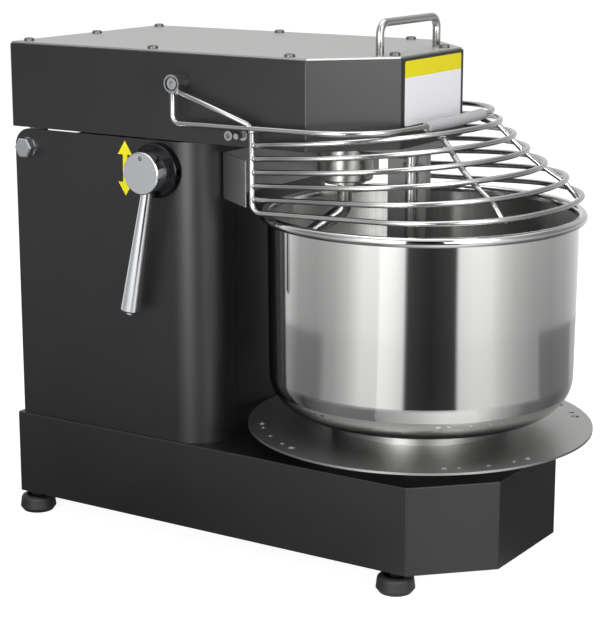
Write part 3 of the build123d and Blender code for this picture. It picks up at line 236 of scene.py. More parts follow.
def ground_steel(name, colour, across, along, rough_low, rough_high):
    """Stainless sheet with straight scratches: noise of so many mm across, and along Y."""
    material, tree, shader = new_material(name, colour, 1.0, 0.3)
    grains = tuple(MM_PER_METRE / size for size in (across, along, across))
    streak = add_node(tree, "ShaderNodeTexNoise",
                      {"Scale": 1.0, "Detail": 3.0, "Vector": object_place(tree, scale=grains)})
    uneven(tree, shader, streak.outputs["Fac"], gloss=(rough_low, rough_high),
           bumps=(0.2, SCRATCH_DEPTH))
    return material


# name, colour, mm across a scratch and along it, lowest and highest roughness
cover_steel = ground_steel("stainless_sheet_ground", "#a6a6a5", 0.4, 40.0, 0.34, 0.5)
shield_steel = ground_steel("stainless_sheet_cold_rolled", "#a0a09f", 0.5, 30.0, 0.4, 0.56)
bar_steel = ground_steel("stainless_bar_drawn", "#9c9c9b", 0.5, 60.0, 0.26, 0.46)
finish_with(cover_steel, "top_cover")
finish_with(shield_steel, "rear_shield", "breaker_bracket")
finish_with(bar_steel, "breaker_bar")

# %% [markdown]
# The bowl is deep drawn and then spun and polished. The disc under it and the spindle's
# housing are turned on a lathe. All carry rings of very fine marks around an upright axis.
# A wave texture would draw them all alike, as on a record. Here they are a noise of the
# distance from that axis and of the height, which closes around the piece without a seam.

# %% Turned and polished steel
BOWL_COLOUR = "#c6c6c5"
bowl_low, bowl_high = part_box("bowl")
bowl_centre = (bowl_low + bowl_high) / 2
housing_low, housing_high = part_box("spindle_housing")
housing_centre = (housing_low + housing_high) / 2


def turned_steel(name, colour, mark, rough_low, rough_high, depth, centre):
    """Steel with rings around an upright axis: noise of (radius + height, a little bearing)."""
    material, tree, shader = new_material(name, colour, 1.0, rough_low)
    place = object_place(tree, location=(-centre[0], -centre[1], 0.0))
    parts = add_node(tree, "ShaderNodeSeparateXYZ", {"Vector": place})
    flat = add_node(tree, "ShaderNodeCombineXYZ",
                    {"X": parts.outputs["X"], "Y": parts.outputs["Y"]}).outputs["Vector"]
    radius = add_node(tree, "ShaderNodeVectorMath", {"operation": "LENGTH", 0: flat})
    side = add_node(tree, "ShaderNodeVectorMath", {"operation": "NORMALIZE", 0: flat})
    bearing = add_node(tree, "ShaderNodeSeparateXYZ", {"Vector": side.outputs["Vector"]})
    ring = add_node(tree, "ShaderNodeMath",
                    {"operation": "ADD", 0: radius.outputs["Value"], 1: parts.outputs["Z"]})
    fine = add_node(tree, "ShaderNodeMath",
                    {"operation": "MULTIPLY", 0: ring.outputs["Value"], 1: MM_PER_METRE / mark})
    spot = add_node(tree, "ShaderNodeCombineXYZ",
                    {"X": fine.outputs["Value"], "Y": bearing.outputs["X"],
                     "Z": bearing.outputs["Y"]})
    marks = add_node(tree, "ShaderNodeTexNoise",
                     {"Scale": 1.0, "Detail": 2.0, "Vector": spot.outputs["Vector"]})
    uneven(tree, shader, marks.outputs["Fac"], gloss=(rough_low, rough_high),
           bumps=(0.15, depth))
    return material, tree, shader, side.outputs["Vector"]


# name, colour, mm between marks, lowest and highest roughness, their depth in metres, axis
bowl_steel, tree, shader, side = turned_steel(
    "stainless_steel_spun_polished", BOWL_COLOUR, 0.6, 0.05, 0.1, 0.000004, bowl_centre)
disc_steel = turned_steel(
    "stainless_steel_turned", "#a2a2a1", 0.5, 0.3, 0.46, 0.00003, bowl_centre)[0]
housing_steel = turned_steel(
    "stainless_steel_turned_bright", "#9c9c9a", 1.2, 0.24, 0.36, 0.00001, housing_centre)[0]
finish_with(bowl_steel, "bowl")
finish_with(disc_steel, "turntable_disc", "turntable_shaft", "bowl_foot_ring")
finish_with(housing_steel, "spindle_housing", "spindle_shaft")

# %% [markdown]
# Some light and dark goes by direction, seen from a middle: the sides of a room, or the painted
# reflection bands round the bowl's inside. A radial gradient turns the direction of x and y into a
# bearing, and a colour ramp turns the bearing into a level, so a list of pairs draws it all.

# %% Bands by bearing


def bearing_bands(tree, vector, levels, top=1.0):
    """A grey by compass bearing, from pairs of degrees and level. The grey is level / top."""
    bearing = add_node(tree, "ShaderNodeTexGradient",
                       {"gradient_type": "RADIAL", "Vector": vector})
    ramp = add_node(tree, "ShaderNodeValToRGB", {"Fac": bearing.outputs["Fac"]})
    stops = sorted((((degrees + 180) % 360) / 360, level / top) for degrees, level in levels)
    elements = ramp.color_ramp.elements
    elements[0].position, elements[1].position = stops[0][0], stops[-1][0]
    for element, level in ((elements[0], stops[0][1]), (elements[1], stops[-1][1])):
        element.color = (level, level, level, 1.0)
    for position, level in stops[1:-1]:
        elements.new(position).color = (level, level, level, 1.0)
    return ramp.outputs["Color"]


# bearings in degrees from +X towards +Y
# painted reflection levels round the bowl's inside: the room mirrored in the wall, painted into its
# colour
PAINTED_REFLECTION_BANDS = ((-150, 0.6), (-110, 0.75), (-80, 0.6), (-48, 0.6), (-36, 0.6), (-29, 0.45),
              (-24, 0.25), (-9, 0.28), (0, 0.45), (4, 0.55), (15.5, 0.95), (17.8, 0.3),
              (30, 0.35), (42, 0.8), (46, 0.8), (59, 0.65), (71, 0.55), (81, 0.66),
              (96, 0.66), (136, 0.6), (171, 0.7))
print(len(PAINTED_REFLECTION_BANDS), "levels round the bowl's wall")

# %% [markdown]
# Only the bowl's outside is buffed to a mirror. Its inside is brushed in rings, which spread each
# highlight up and down the wall under a satin sheen: a rougher gloss and an anisotropic shine. Its
# upright bands and streaks are painted reflections in its colour, the bands from the bearing and
# the streaks from a noise of it. Inside is where the surface faces the axis or the sky, below the
# rim.

# %% Satin inside the bowl
RIM_HEIGHT = 0.007
FACES_AXIS = -0.02  # the wall's inside: its normal points away from the axis by less
FACES_SKY = 0.2  # the bowl's floor: its normal points up by more
SATIN_ROUGHER = 0.36
facing = add_node(tree, "ShaderNodeTexCoord", {}).outputs["Normal"]
outward = add_node(tree, "ShaderNodeVectorMath",
                   {"operation": "DOT_PRODUCT", 0: facing, 1: side})
inward = add_node(tree, "ShaderNodeMath",
                  {"operation": "LESS_THAN", 0: outward.outputs["Value"], 1: FACES_AXIS})
up = add_node(tree, "ShaderNodeSeparateXYZ", {"Vector": facing})
upward = add_node(tree, "ShaderNodeMath",
                  {"operation": "GREATER_THAN", 0: up.outputs["Z"], 1: FACES_SKY})
inner = add_node(tree, "ShaderNodeMath",
                 {"operation": "MAXIMUM", 0: inward.outputs["Value"],
                  1: upward.outputs["Value"]})
parts = add_node(tree, "ShaderNodeSeparateXYZ", {"Vector": object_place(tree)})
below = add_node(tree, "ShaderNodeMath",
                 {"operation": "LESS_THAN", 0: parts.outputs["Z"],
                  1: float(bowl_high[2]) - RIM_HEIGHT})
satin = add_node(tree, "ShaderNodeMath",
                 {"operation": "MULTIPLY", 0: inner.outputs["Value"],
                  1: below.outputs["Value"]}).outputs["Value"]
mirror_roughness = shader.inputs["Roughness"].links[0].from_socket
duller = add_node(tree, "ShaderNodeMath",
                  {"operation": "MULTIPLY_ADD", 0: satin, 1: SATIN_ROUGHER,
                   2: mirror_roughness})
tree.links.new(duller.outputs["Value"], shader.inputs["Roughness"])
print("satin below", round(float(bowl_high[2]) - RIM_HEIGHT, 4), "m")

# %% Painted reflection bands and streaks, and the brushing, inside the bowl
# the inside's colour, which the painted reflection bands and streaks darken
WALL_COLOUR = "#eeeeec"
PAINTED_STREAKS = 60.0  # to one radius of the bowl, so each is about 2.3 mm wide
PAINTED_STREAK_LOW, PAINTED_STREAK_HIGH = 0.8, 1.2
BRUSHING = 0.9
QUARTER_TURN = 0.25
# painted streaks: a noise of the bearing that makes the painted reflection lighter and darker
streak = add_node(tree, "ShaderNodeTexNoise", {"Scale": PAINTED_STREAKS, "Detail": 3.0, "Vector": side})
painted_streak_level = add_node(tree, "ShaderNodeMapRange",
                        {"To Min": PAINTED_STREAK_LOW, "To Max": PAINTED_STREAK_HIGH,
                         "Value": streak.outputs["Fac"]})
bands = add_node(tree, "ShaderNodeVectorMath",
                 {"operation": "SCALE", 0: bearing_bands(tree, side, PAINTED_REFLECTION_BANDS),
                  "Scale": painted_streak_level.outputs["Result"]})
# the painted reflection bands times the inside's colour, used where the inside is
painted_reflection_wall = add_node(tree, "ShaderNodeMix",
                {"data_type": "RGBA", "blend_type": "MULTIPLY", FACTOR: 1.0,
                 COLOUR_A: bands.outputs["Vector"], COLOUR_B: linear(WALL_COLOUR)})
skin = add_node(tree, "ShaderNodeMix",
                {"data_type": "RGBA", FACTOR: satin, COLOUR_A: linear(BOWL_COLOUR),
                 COLOUR_B: painted_reflection_wall.outputs[MIXED]})
tree.links.new(skin.outputs[MIXED], shader.inputs["Base Color"])
brushed = add_node(tree, "ShaderNodeMath",
                   {"operation": "MULTIPLY", 0: inward.outputs["Value"], 1: BRUSHING})
brushed_below = add_node(tree, "ShaderNodeMath",
                         {"operation": "MULTIPLY", 0: brushed.outputs["Value"],
                          1: below.outputs["Value"]})
tree.links.new(brushed_below.outputs["Value"], shader.inputs["Anisotropic"])
round_axis = add_node(tree, "ShaderNodeTangent", {"direction_type": "RADIAL", "axis": "Z"})
tree.links.new(round_axis.outputs["Tangent"], shader.inputs["Tangent"])
shader.inputs["Anisotropic Rotation"].default_value = QUARTER_TURN
print("bowl material has", len(tree.nodes), "nodes")

# %% [markdown]
# The guard, the spiral and the handle are round stainless bars, polished with a rag
# wheel. Their highlights run in long soft lines, with a smear that changes along the bar.
# A single low roughness would look like new chrome, so a noise 9 mm wide moves it.

# %% Polished bar
SMEAR = 9  # mm
polished_bar, tree, shader = new_material("stainless_bar_polished", "#b2b2b1", 1.0, 0.22)
smear = add_node(tree, "ShaderNodeTexNoise",
                 {"Scale": MM_PER_METRE / SMEAR, "Detail": 4.0, "Vector": object_place(tree)})
uneven(tree, shader, smear.outputs["Fac"], gloss=(0.16, 0.3))
finish_with(polished_bar, "guard_bushes", "guard_stops", "spiral_hook", "breaker_rod")

# %% [markdown]
# The lever and its hub are turned steel, nickelled and then chromed. Chrome is a shade
# bluer than stainless steel and clearer in its reflections. Its gloss varies in short
# upright strokes, as a polishing cloth leaves them.

# %% Chrome plate
STROKE = 1.2  # mm
chrome, tree, shader = new_material("chrome_plated_steel", "#d2d3d6", 1.0, 0.1)
strokes = add_node(tree, "ShaderNodeTexNoise",
                   {"Scale": MM_PER_METRE / STROKE, "Detail": 2.0,
                    "Vector": object_place(tree, scale=(1.0, 1.0, 0.08))})
uneven(tree, shader, strokes.outputs["Fac"], gloss=(0.08, 0.2))
finish_with(chrome, "lock_hub", "lock_lever")

# %% [markdown]
# The other metals differ only in their tones and their gloss. The collar behind the hub
# and the feet's studs are blackened, a coat that keeps the metal's sheen but drinks most
# of its light. The inner parts are oiled machined steel. The bolts have bright zinc with
# its slightly blue, uneven cast, and the cover's screws a duller one. One function makes
# them all, from two tones and the size of the patches in which they wander.

# %% Blackened, machined and zinc plated steel


def mottled_metal(name, dark, light, size, rough_low, rough_high):
    """A metal whose colour and gloss wander between two values over patches this many mm wide."""
    material, tree, shader = new_material(name, dark, 1.0, rough_low)
    patch = add_node(tree, "ShaderNodeTexNoise",
                     {"Scale": MM_PER_METRE / size, "Detail": 4.0, "Vector": object_place(tree)})
    uneven(tree, shader, patch.outputs["Fac"], gloss=(rough_low, rough_high),
           tones=(dark, light))
    return material


# name, two tones, mm across a patch, lowest and highest roughness
blackened = mottled_metal("steel_blackened", "#2b2a2c", "#363537", 6.0, 0.22, 0.34)
machined = mottled_metal("steel_machined_oiled", "#6d6c69", "#85837f", 8.0, 0.25, 0.4)
zinc = mottled_metal("steel_zinc_plated", "#a5a8ad", "#bfc0c1", 3.0, 0.28, 0.42)
dull_zinc = mottled_metal("steel_zinc_passivated", "#5a5a5c", "#747577", 1.5, 0.35, 0.5)
finish_with(blackened, "lock_collar", "foot_studs")
finish_with(dull_zinc, "cover_screws", "back_cover_screws")
finish_with(machined, "turntable_housing", "turntable_bearings", "spindle_bearings",
            "hinge_bushes", "lock_hook", "striker", "drive_pins", "bowl_pulley",
            "gear_motor_pulley", "spindle_pulley", "motor_pulley")
finish_with(zinc, "hinge_bolts", "guard_screws", "column_top_brace",
            "base_bottom_plate", "chassis_plate", "gear_motor_plate")

# %% [markdown]
# The guard and the lifting handle are bent from bright round bar. A bar could be a curve
# with a round bevel, but its ends stay open and its rows can't be counted. Here it is
# worked out the way a wire bender works: feed a length, bend round a former, feed again.

# %% A line bent through its corners
ARC_STEP = math.radians(2.5)
OFF_AXIS = np.array([0.31, 0.17, 0.93])  # an odd direction, along none of the bars


def bend_path(corners, radii):
    """Points, directions and side vectors of a bar bent through these corners.

    Between corners the bar is straight. At a corner it follows an arc: the start, plus the
    radius times (sine of the angle, forwards) and (one minus its cosine, towards the
    centre). The side vector turns with it about the arc's axis.
    """
    corners = np.asarray(corners, dtype=float)
    legs = np.diff(corners, axis=0)
    forward = legs / np.linalg.norm(legs, axis=1, keepdims=True)
    side = np.cross(forward[0], forward[-1] + OFF_AXIS)
    side /= np.linalg.norm(side)
    points, along, sides = [corners[:1]], [forward[:1]], [side[None]]
    for index, radius in enumerate(radii):
        ahead = forward[index]
        axis = np.cross(ahead, forward[index + 1])
        axis /= np.linalg.norm(axis)
        turn = math.acos(float(np.clip(ahead @ forward[index + 1], -1, 1)))
        angle = np.linspace(0, turn, max(3, math.ceil(turn / ARC_STEP)))[:, None]
        sine, cosine = np.sin(angle), np.cos(angle)
        inward = np.cross(axis, ahead)
        start = corners[index + 1] - radius * math.tan(turn / 2) * ahead
        points.append(start + radius * (sine * ahead + (1 - cosine) * inward))
        along.append(cosine * ahead + sine * inward)
        turned = side * cosine + np.cross(axis, side) * sine + axis * (axis @ side) * (1 - cosine)
        sides.append(turned)
        side = turned[-1]
    points.append(corners[-1:])
    along.append(forward[-1:])
    sides.append(side[None])
    points, along, sides = map(np.concatenate, (points, along, sides))
    apart = np.linalg.norm(np.diff(points, axis=0), axis=1) > SAME_POINT
    keep = np.concatenate([[True], apart])
    return points[keep], along[keep], sides[keep]


corner_line = bend_path([(0, 0, 0), (0.1, 0, 0), (0.1, 0.1, 0)], [0.02])[0]
print("one square corner takes", len(corner_line), "points")

# %% [markdown]
# A round skin is then wrapped about each line: a ring of points at every step, and faces
# between one ring and the next. All bars of one piece go into a single mesh, which sits at
# the scene's origin and rides on its body.

# %% Round bars as one piece
BAR_SIDES = 24
END_EDGE = 0.12  # how far the end's edge is eased, as a share of the bar's radius


def add_piece(name, points, quads, triangles, body, finish):
    """Put points and faces into a mesh whose object sits at the origin and rides on a body."""
    mesh = bpy.data.meshes.new(name)
    mesh.from_pydata(points.tolist(), [], quads.tolist() + triangles.tolist())
    mesh.polygons.foreach_set("use_smooth", np.ones(len(mesh.polygons), dtype=bool))
    mesh.validate()
    mesh.update()
    mesh.materials.append(finish)
    piece = bpy.data.objects.new(name, mesh)
    bpy.context.collection.objects.link(piece)
    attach(piece, body)
    print(name, len(mesh.polygons), "faces")
    return piece


def bars(name, paths, radius, body, finish):
    """Round bars along several bent paths, as one piece.

    A bar's surface is its middle line plus the radius times (cosine of the angle around,
    times the side vector) and (its sine, times the vector across). The rows at both ends
    shrink to a small edge and close on one point.
    """
    angle = np.linspace(0, 2 * math.pi, BAR_SIDES, endpoint=False)[None, :, None]
    all_points, all_quads, all_triangles, first = [], [], [], 0
    for corners, radii in paths:
        line, along, side = bend_path(corners, radii)
        across = np.cross(along, side)
        edge = END_EDGE * radius
        line = np.concatenate([line[:1], line[:1] + edge * along[:1], line[1:-1],
                               line[-1:] - edge * along[-1:], line[-1:]])
        side = np.concatenate([side[:1], side, side[-1:]])
        across = np.concatenate([across[:1], across, across[-1:]])
        reach = np.full(len(line), radius)
        reach[[0, -1]] = radius - edge
        ring = (np.cos(angle) * side[:, None] + np.sin(angle) * across[:, None])
        skin = (line[:, None] + reach[:, None, None] * ring).reshape(-1, 3)
        rows = np.arange(len(line) - 1)[:, None] * BAR_SIDES
        here = np.arange(BAR_SIDES)[None]
        beside = (here + 1) % BAR_SIDES
        quads = np.stack([rows + here, rows + beside, rows + BAR_SIDES + beside,
                          rows + BAR_SIDES + here], axis=-1).reshape(-1, 4)
        poles = len(skin)
        last = poles - BAR_SIDES
        pole = np.full(BAR_SIDES, poles)
        start_cap = np.stack([pole, beside[0], here[0]], axis=-1)
        end_cap = np.stack([pole + 1, last + here[0], last + beside[0]], axis=-1)
        all_points.append(np.concatenate([skin, line[:1], line[-1:]]))
        all_quads.append(quads + first)
        all_triangles.append(np.concatenate([start_cap, end_cap]) + first)
        first += poles + 2
    return add_piece(name, np.concatenate(all_points), np.concatenate(all_quads),
                     np.concatenate(all_triangles), body, finish)


print("a bar has", BAR_SIDES, "sides")

# %% [markdown]
# Seven rings make the guard. Each has a straight side, a corner arc and one wide front
# arc, and lies in a plane that climbs a little towards the front. The corner of a bent
# bar is where its two straight lines would meet, so each arc needs one such point. The
# measures are the guard's own, the same as the solids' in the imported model.

# %% The rings' measures
MM = 0.001
HALF, SIDE_Y = 0.128, -0.0195  # half the guard's width, and where its sides begin
TOP_Z, NEXT_Z, PITCH = 0.397, 0.383, 0.01165
RING_COUNT = 7
LAST_RING = RING_COUNT - 1
WIRE = 0.0024  # the wire's radius
height = np.array([TOP_Z] + [NEXT_Z - PITCH * step for step in range(LAST_RING)])
reach = np.array([144.4, 174.2, 188.4, 202.0, 218.9, 236.6, 251.1]) * MM
rise = np.array([1.3, 12.5, 12.7, 12.8, 12.5, 11.1, 7.4]) * MM
straight = np.array([60, 32, 44, 56, 80, 108, 124]) * MM
corner = np.array([61, 120, 120, 120, 112, 105, 104]) * MM
slope = np.arctan2(rise, reach + SIDE_Y)
bend = np.hypot(reach + SIDE_Y, rise) - straight
inset = HALF - corner
# the front arc passes through the ring's tip and meets both corner arcs without a kink
front = (inset ** 2 + bend ** 2 - corner ** 2) / (2 * (bend - corner))
turn = np.arctan2(front - bend, inset)
print("front radii", np.round(front / MM, 1), "mm")

# %% The rings' corners


def in_ring(ring, x, forward):
    """A ring's own flat coordinates as a place in the room: forwards is -Y, and up the slope."""
    x, forward = np.broadcast_arrays(x, forward)
    return np.stack([x, SIDE_Y - forward * math.cos(slope[ring]),
                     height[ring] + forward * math.sin(slope[ring])], axis=-1)


def ring_corners(ring):
    """The three points where a ring's straight lines would meet, from left to right."""
    first = straight[ring] + corner[ring] * math.tan(turn[ring] / 2)
    middle = first + HALF / math.tan(turn[ring])
    return in_ring(ring, np.array([-HALF, 0, HALF]), np.array([first, middle, first]))


def ring_path(ring, before, after, end_radii=()):
    """A whole bar: its left end, the ring's three corners and its right end, with their radii."""
    radii = [*end_radii, corner[ring], front[ring], corner[ring], *end_radii]
    return np.concatenate([before, ring_corners(ring), after]), radii


print("the top ring's corners", np.round(ring_corners(0), 3).tolist())

# %% [markdown]
# The top ring and both arms are one wire, bent up at the guard's hinge. The lowest ring
# turns up into two side bars, and the five rings between them are welded to those bars.

# %% The guard's rings
ARM_Y, ARM_TOP, ARM_BEND = 0.0633, 0.4225, 0.007
SIDE_BAR_BEND = 0.0085
RING_START = 0.0028
HAIR = 0.0001  # what is left between two wires that lie on each other
arm = [np.array([[side * HALF, ARM_Y, ARM_TOP], in_ring(0, side * HALF, SIDE_Y - ARM_Y)])
       for side in (-1, 1)]
frame_bar = ring_path(0, arm[0], arm[1][::-1], [ARM_BEND])
middle_bars = []
for ring in range(1, LAST_RING):
    left, right = (in_ring(ring, side * HALF, RING_START)[None] for side in (-1, 1))
    middle_bars.append(ring_path(ring, left, right))
side_bar = [np.array([[side * HALF, SIDE_Y, TOP_Z - WIRE - HAIR],
                      in_ring(LAST_RING, side * HALF, 0.0)]) for side in (-1, 1)]
low_bar = ring_path(LAST_RING, side_bar[0], side_bar[1][::-1], [SIDE_BAR_BEND])
for name, node, paths in (("guard_frame_bar", "guard_frame", [frame_bar]),
                          ("guard_ring_bars", "guard_rings", middle_bars),
                          ("guard_low_bar", "guard_lower_ring", [low_bar])):
    piece = bars(name, paths, WIRE, "guard", polished_bar)
    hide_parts(node)

# %% [markdown]
# Two long wires cross under the rings and hold them apart, and a brace stiffens each arm.
# A long wire touches each ring from below, so its points are the rings' own points, moved
# two wire radii away from the ring, square to both.

# %% Long wires and braces
LONG_WIRES = ((-0.047, -0.074), (0.061, 0.078))  # x at the top ring and at the lowest
LONG_BEND = 0.009
BRACE_ENDS = ((0.0564, 0.4234), (-0.0166, 0.4))  # y and z of a brace's ends


def on_ring(ring, x):
    """The front point of a ring at a distance from the middle: on its wide arc or its corner."""
    wide = abs(x) < front[ring] * math.cos(turn[ring])
    forward = (bend[ring] - front[ring] + math.sqrt(max(front[ring] ** 2 - x ** 2, 0)) if wide
               else math.sqrt(corner[ring] ** 2 - (abs(x) - inset[ring]) ** 2))
    return in_ring(ring, x, straight[ring] + forward)


def long_wire(top_x, low_x):
    """A wire's points under the rings, and the points where it touches them."""
    columns = np.linspace(top_x, low_x, RING_COUNT)
    crossing = np.array([on_ring(ring, x) for ring, x in enumerate(columns)])
    tangent = np.array([on_ring(ring, x + MM) - on_ring(ring, x - MM)
                        for ring, x in enumerate(columns)])
    run = (np.concatenate([crossing[1:], crossing[-1:]])
           - np.concatenate([crossing[:1], crossing[:-1]]))
    away = np.cross(tangent, run)
    away /= np.linalg.norm(away, axis=1, keepdims=True)
    away *= -np.sign(away[:, 2:])
    return crossing + away * (2 * WIRE + HAIR), crossing + away * WIRE


wires = [long_wire(top_x, low_x) for top_x, low_x in LONG_WIRES]
strut_paths = [(under, [LONG_BEND] * (RING_COUNT - 2)) for under, touch in wires]
strut_paths += [(np.array([[side * HALF, y, z] for y, z in BRACE_ENDS]), [])
                for side in (-1, 1)]
piece = bars("guard_long_wires", strut_paths, WIRE, "guard", polished_bar)
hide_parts("guard_struts")

# %% [markdown]
# Every joint of the guard is a small weld. The bead is a lump a little wider than the
# wire, uneven because the welder's hand stops and goes. Each is a ball whose radius
# wobbles with the two angles, stretched along the joint, and all of them are one piece.

# %% A row of weld beads
BEAD_ROWS, BEAD_SIDES = 9, 14


def weld_beads(name, centres, sizes, body, finish):
    """Balls at centres, stretched to sizes: radius 1 + 0.07 sin 5a sin 3d + 0.04 sin 2a.

    Here a is the angle around and d the angle down, each shifted by the ball's number.
    """
    centres, sizes = np.asarray(centres), np.asarray(sizes)
    phase = np.arange(len(centres))[:, None, None]
    down = np.linspace(0, math.pi, BEAD_ROWS)[None, 1:-1, None]
    around = np.linspace(0, 2 * math.pi, BEAD_SIDES, endpoint=False)[None, None, :]
    wobble = 1 + 0.07 * np.sin(5 * around + phase) * np.sin(3 * down + 2 * phase)
    wobble = wobble + 0.04 * np.sin(2 * around - phase)
    ball = np.stack([wobble * np.sin(down) * np.cos(around),
                     wobble * np.sin(down) * np.sin(around),
                     wobble * np.cos(down)], axis=-1)
    count, rows = len(centres), BEAD_ROWS - 2
    skin = (centres[:, None, None] + ball * sizes[:, None, None]).reshape(count, -1, 3)
    top = centres + sizes * np.array([0, 0, 1.0])
    low = centres - sizes * np.array([0, 0, 1.0])
    points = np.concatenate([skin, top[:, None], low[:, None]], axis=1)
    each = rows * BEAD_SIDES + 2
    offset = (np.arange(count) * each)[:, None, None]
    here = np.arange(BEAD_SIDES)
    beside = (here + 1) % BEAD_SIDES
    row = (np.arange(rows - 1) * BEAD_SIDES)[:, None]
    quads = np.stack([row + here, row + BEAD_SIDES + here, row + BEAD_SIDES + beside,
                      row + beside], axis=-1).reshape(1, -1, 4) + offset
    last = (rows - 1) * BEAD_SIDES
    pole = np.full(BEAD_SIDES, each - 2)
    caps = np.concatenate([np.stack([pole, here, beside], axis=-1),
                           np.stack([pole + 1, last + beside, last + here], axis=-1)])
    triangles = caps[None] + offset
    return add_piece(name, points.reshape(-1, 3), quads.reshape(-1, 4),
                     triangles.reshape(-1, 3), body, finish)


bead_metal = mottled_metal("weld_bead_stainless", "#8d8c8b", "#b9b8b6", 1.0, 0.24, 0.42)
print("a bead has", BEAD_SIDES * (BEAD_ROWS - 1), "faces")

# %% Where the guard is welded
# half sizes of a bead in metres, along x, y and z
RING_BEAD = (0.0027, 0.0029, 0.0031)
CROSSING_BEAD = (0.0031, 0.0026, 0.0022)
# y and z of the other welds on each side of the guard, each with its bead
SIDE_WELDS = (
    ((SIDE_Y, TOP_Z - 0.0026), (0.0028, 0.0032, 0.0024)),  # the side bar under the top ring
    ((-0.0155, TOP_Z + 0.0021), (0.0027, 0.0042, 0.0024)),  # the brace's low end
    ((0.0575, 0.4232), (0.0028, 0.0034, 0.0027)),  # its high end
    ((ARM_Y, ARM_TOP + 0.0002), (0.0028, 0.0034, 0.0024)),  # the arm's end at the hinge
)
RING_WELD_BACK = 0.0022
spots, sizes = [], []
for side in (-1, 1):
    x = side * HALF
    for ring in range(1, LAST_RING):
        spots.append((x, SIDE_Y - RING_WELD_BACK, height[ring]))
        sizes.append(RING_BEAD)
    for (y, z), size in SIDE_WELDS:
        spots.append((x, y, z))
        sizes.append(size)
for under, touch in wires:
    spots += touch.tolist()
    sizes += [CROSSING_BEAD] * RING_COUNT
beads = weld_beads("guard_weld_beads", spots, sizes, "guard", bead_metal)
print(len(spots), "welds")

# %% [markdown]
# The handle is the same bar, thicker, and its two legs go through the cover into welded
# nuts. The legs start just under the cover, where nothing shows.

# %% The lifting handle
HANDLE_BAR, HANDLE_HALF, HANDLE_BEND = 0.0036, 0.05, 0.01
handle_low, handle_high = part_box("lift_handle")
handle_y = float(handle_low[1] + handle_high[1]) / 2
handle_top = float(handle_high[2]) - HANDLE_BAR
handle_foot = float(handle_low[2])
legs = np.array([[-HANDLE_HALF, handle_y, handle_foot], [-HANDLE_HALF, handle_y, handle_top],
                 [HANDLE_HALF, handle_y, handle_top], [HANDLE_HALF, handle_y, handle_foot]])
handle = bars("lift_handle_bar", [(legs, [HANDLE_BEND, HANDLE_BEND])], HANDLE_BAR, "head",
              polished_bar)
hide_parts("lift_handle")

# %% [markdown]
# Feet and belts are black rubber, moulded with a dull skin. The grip on the guard is a
# grey foamed sleeve, and the knob and the cable gland are textured black nylon. The
# buttons, the board, the motors' enamel and the films are smoother. All are plastics
# without metal, so only colour, roughness, grain and IOR differ, and one table lists them.

# %% Rubber and plastics


def moulded(name, dark, light, grain, roughness, depth, ior):
    """A moulded plastic or rubber: two close tones and bumps with a grain this many mm wide."""
    material, tree, shader = new_material(name, dark, 0.0, roughness, IOR=ior)
    skin = add_node(tree, "ShaderNodeTexNoise",
                    {"Scale": MM_PER_METRE / grain, "Detail": 3.0, "Vector": object_place(tree)})
    uneven(tree, shader, skin.outputs["Fac"], tones=(dark, light), bumps=(0.3, depth))
    return material


# name, two tones, grain in mm, roughness, depth of the bumps in metres, IOR, nodes
MOULDED = (
    ("rubber_black_moulded", "#0e0e0e", "#141414", 1.2, 0.6, 0.0001, 1.52,
     ("foot_pads", "bowl_belt", "spindle_belt")),
    ("foam_sleeve_grey", "#a6a4a7", "#b4b2b5", 0.8, 0.75, 0.0001, 1.45, ("grip_sleeve",)),
    ("nylon_black_textured", "#19191a", "#212122", 0.7, 0.5, 0.0001, 1.53,
     ("timer_knob", "cable_gland")),
    ("polycarbonate_green", "#1d7a34", "#21843a", 5.0, 0.2, 0.00002, 1.58, ("start_button",)),
    ("polycarbonate_red", "#b01818", "#bb1f1d", 5.0, 0.2, 0.00002, 1.58, ("stop_button",)),
    ("epoxy_board_green", "#1d4d2c", "#265c36", 3.0, 0.4, 0.00002, 1.55, ("control_board",)),
    ("motor_enamel_grey", "#4b4f52", "#54585b", 2.0, 0.45, 0.00005, 1.5,
     ("spiral_motor", "bowl_gear_motor")),
    ("polyester_film_grey", "#8f9295", "#969a9d", 2.0, 0.35, 0.00002, 1.57,
     ("control_panel",)),
    ("vinyl_film_yellow", "#e9de10", "#efe41c", 3.0, 0.4, 0.00001, 1.5, ("arrow_label",)),
)
for *recipe, names in MOULDED:
    finish_with(moulded(*recipe), *names)

# %% [markdown]
# The yellow film above is the double arrow beside the lever. The plate on the head's front
# is a matt printed film with a yellow band above a pale field. It is one solid, so its two
# inks are told apart by height.

# %% The two-ink plate
YELLOW_BAND = 0.0142
PALE_INK, YELLOW_INK = "#e3e2e6", "#dcd00a"
plate_low, plate_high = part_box("front_label")
plate_film, tree, shader = new_material("vinyl_film_two_inks", "#e6e6e4", 0.0, 0.6, IOR=1.46)
parts = add_node(tree, "ShaderNodeSeparateXYZ", {"Vector": object_place(tree)})
above = add_node(tree, "ShaderNodeMath",
                 {"operation": "GREATER_THAN", 0: parts.outputs["Z"],
                  1: float(plate_high[2]) - YELLOW_BAND})
uneven(tree, shader, above.outputs["Value"], tones=(PALE_INK, YELLOW_INK))
finish_with(plate_film, "front_label")

# %% [markdown]
# The camera stands at the front left, a little above the head, with a long lens from
# about 1.7 m away, which keeps upright edges nearly parallel as in a catalogue. It could
# be turned by angles, but a place and an aim are plain points in metres and easier to read.

# %% Camera
CAMERA_PLACE = Vector((-1.43074, -0.90615, 0.60505))
CAMERA_AIM = Vector((-0.00006, 0.014005, 0.204841))
SENSOR_WIDTH, FOCAL_LENGTH = 36.0, 106.43


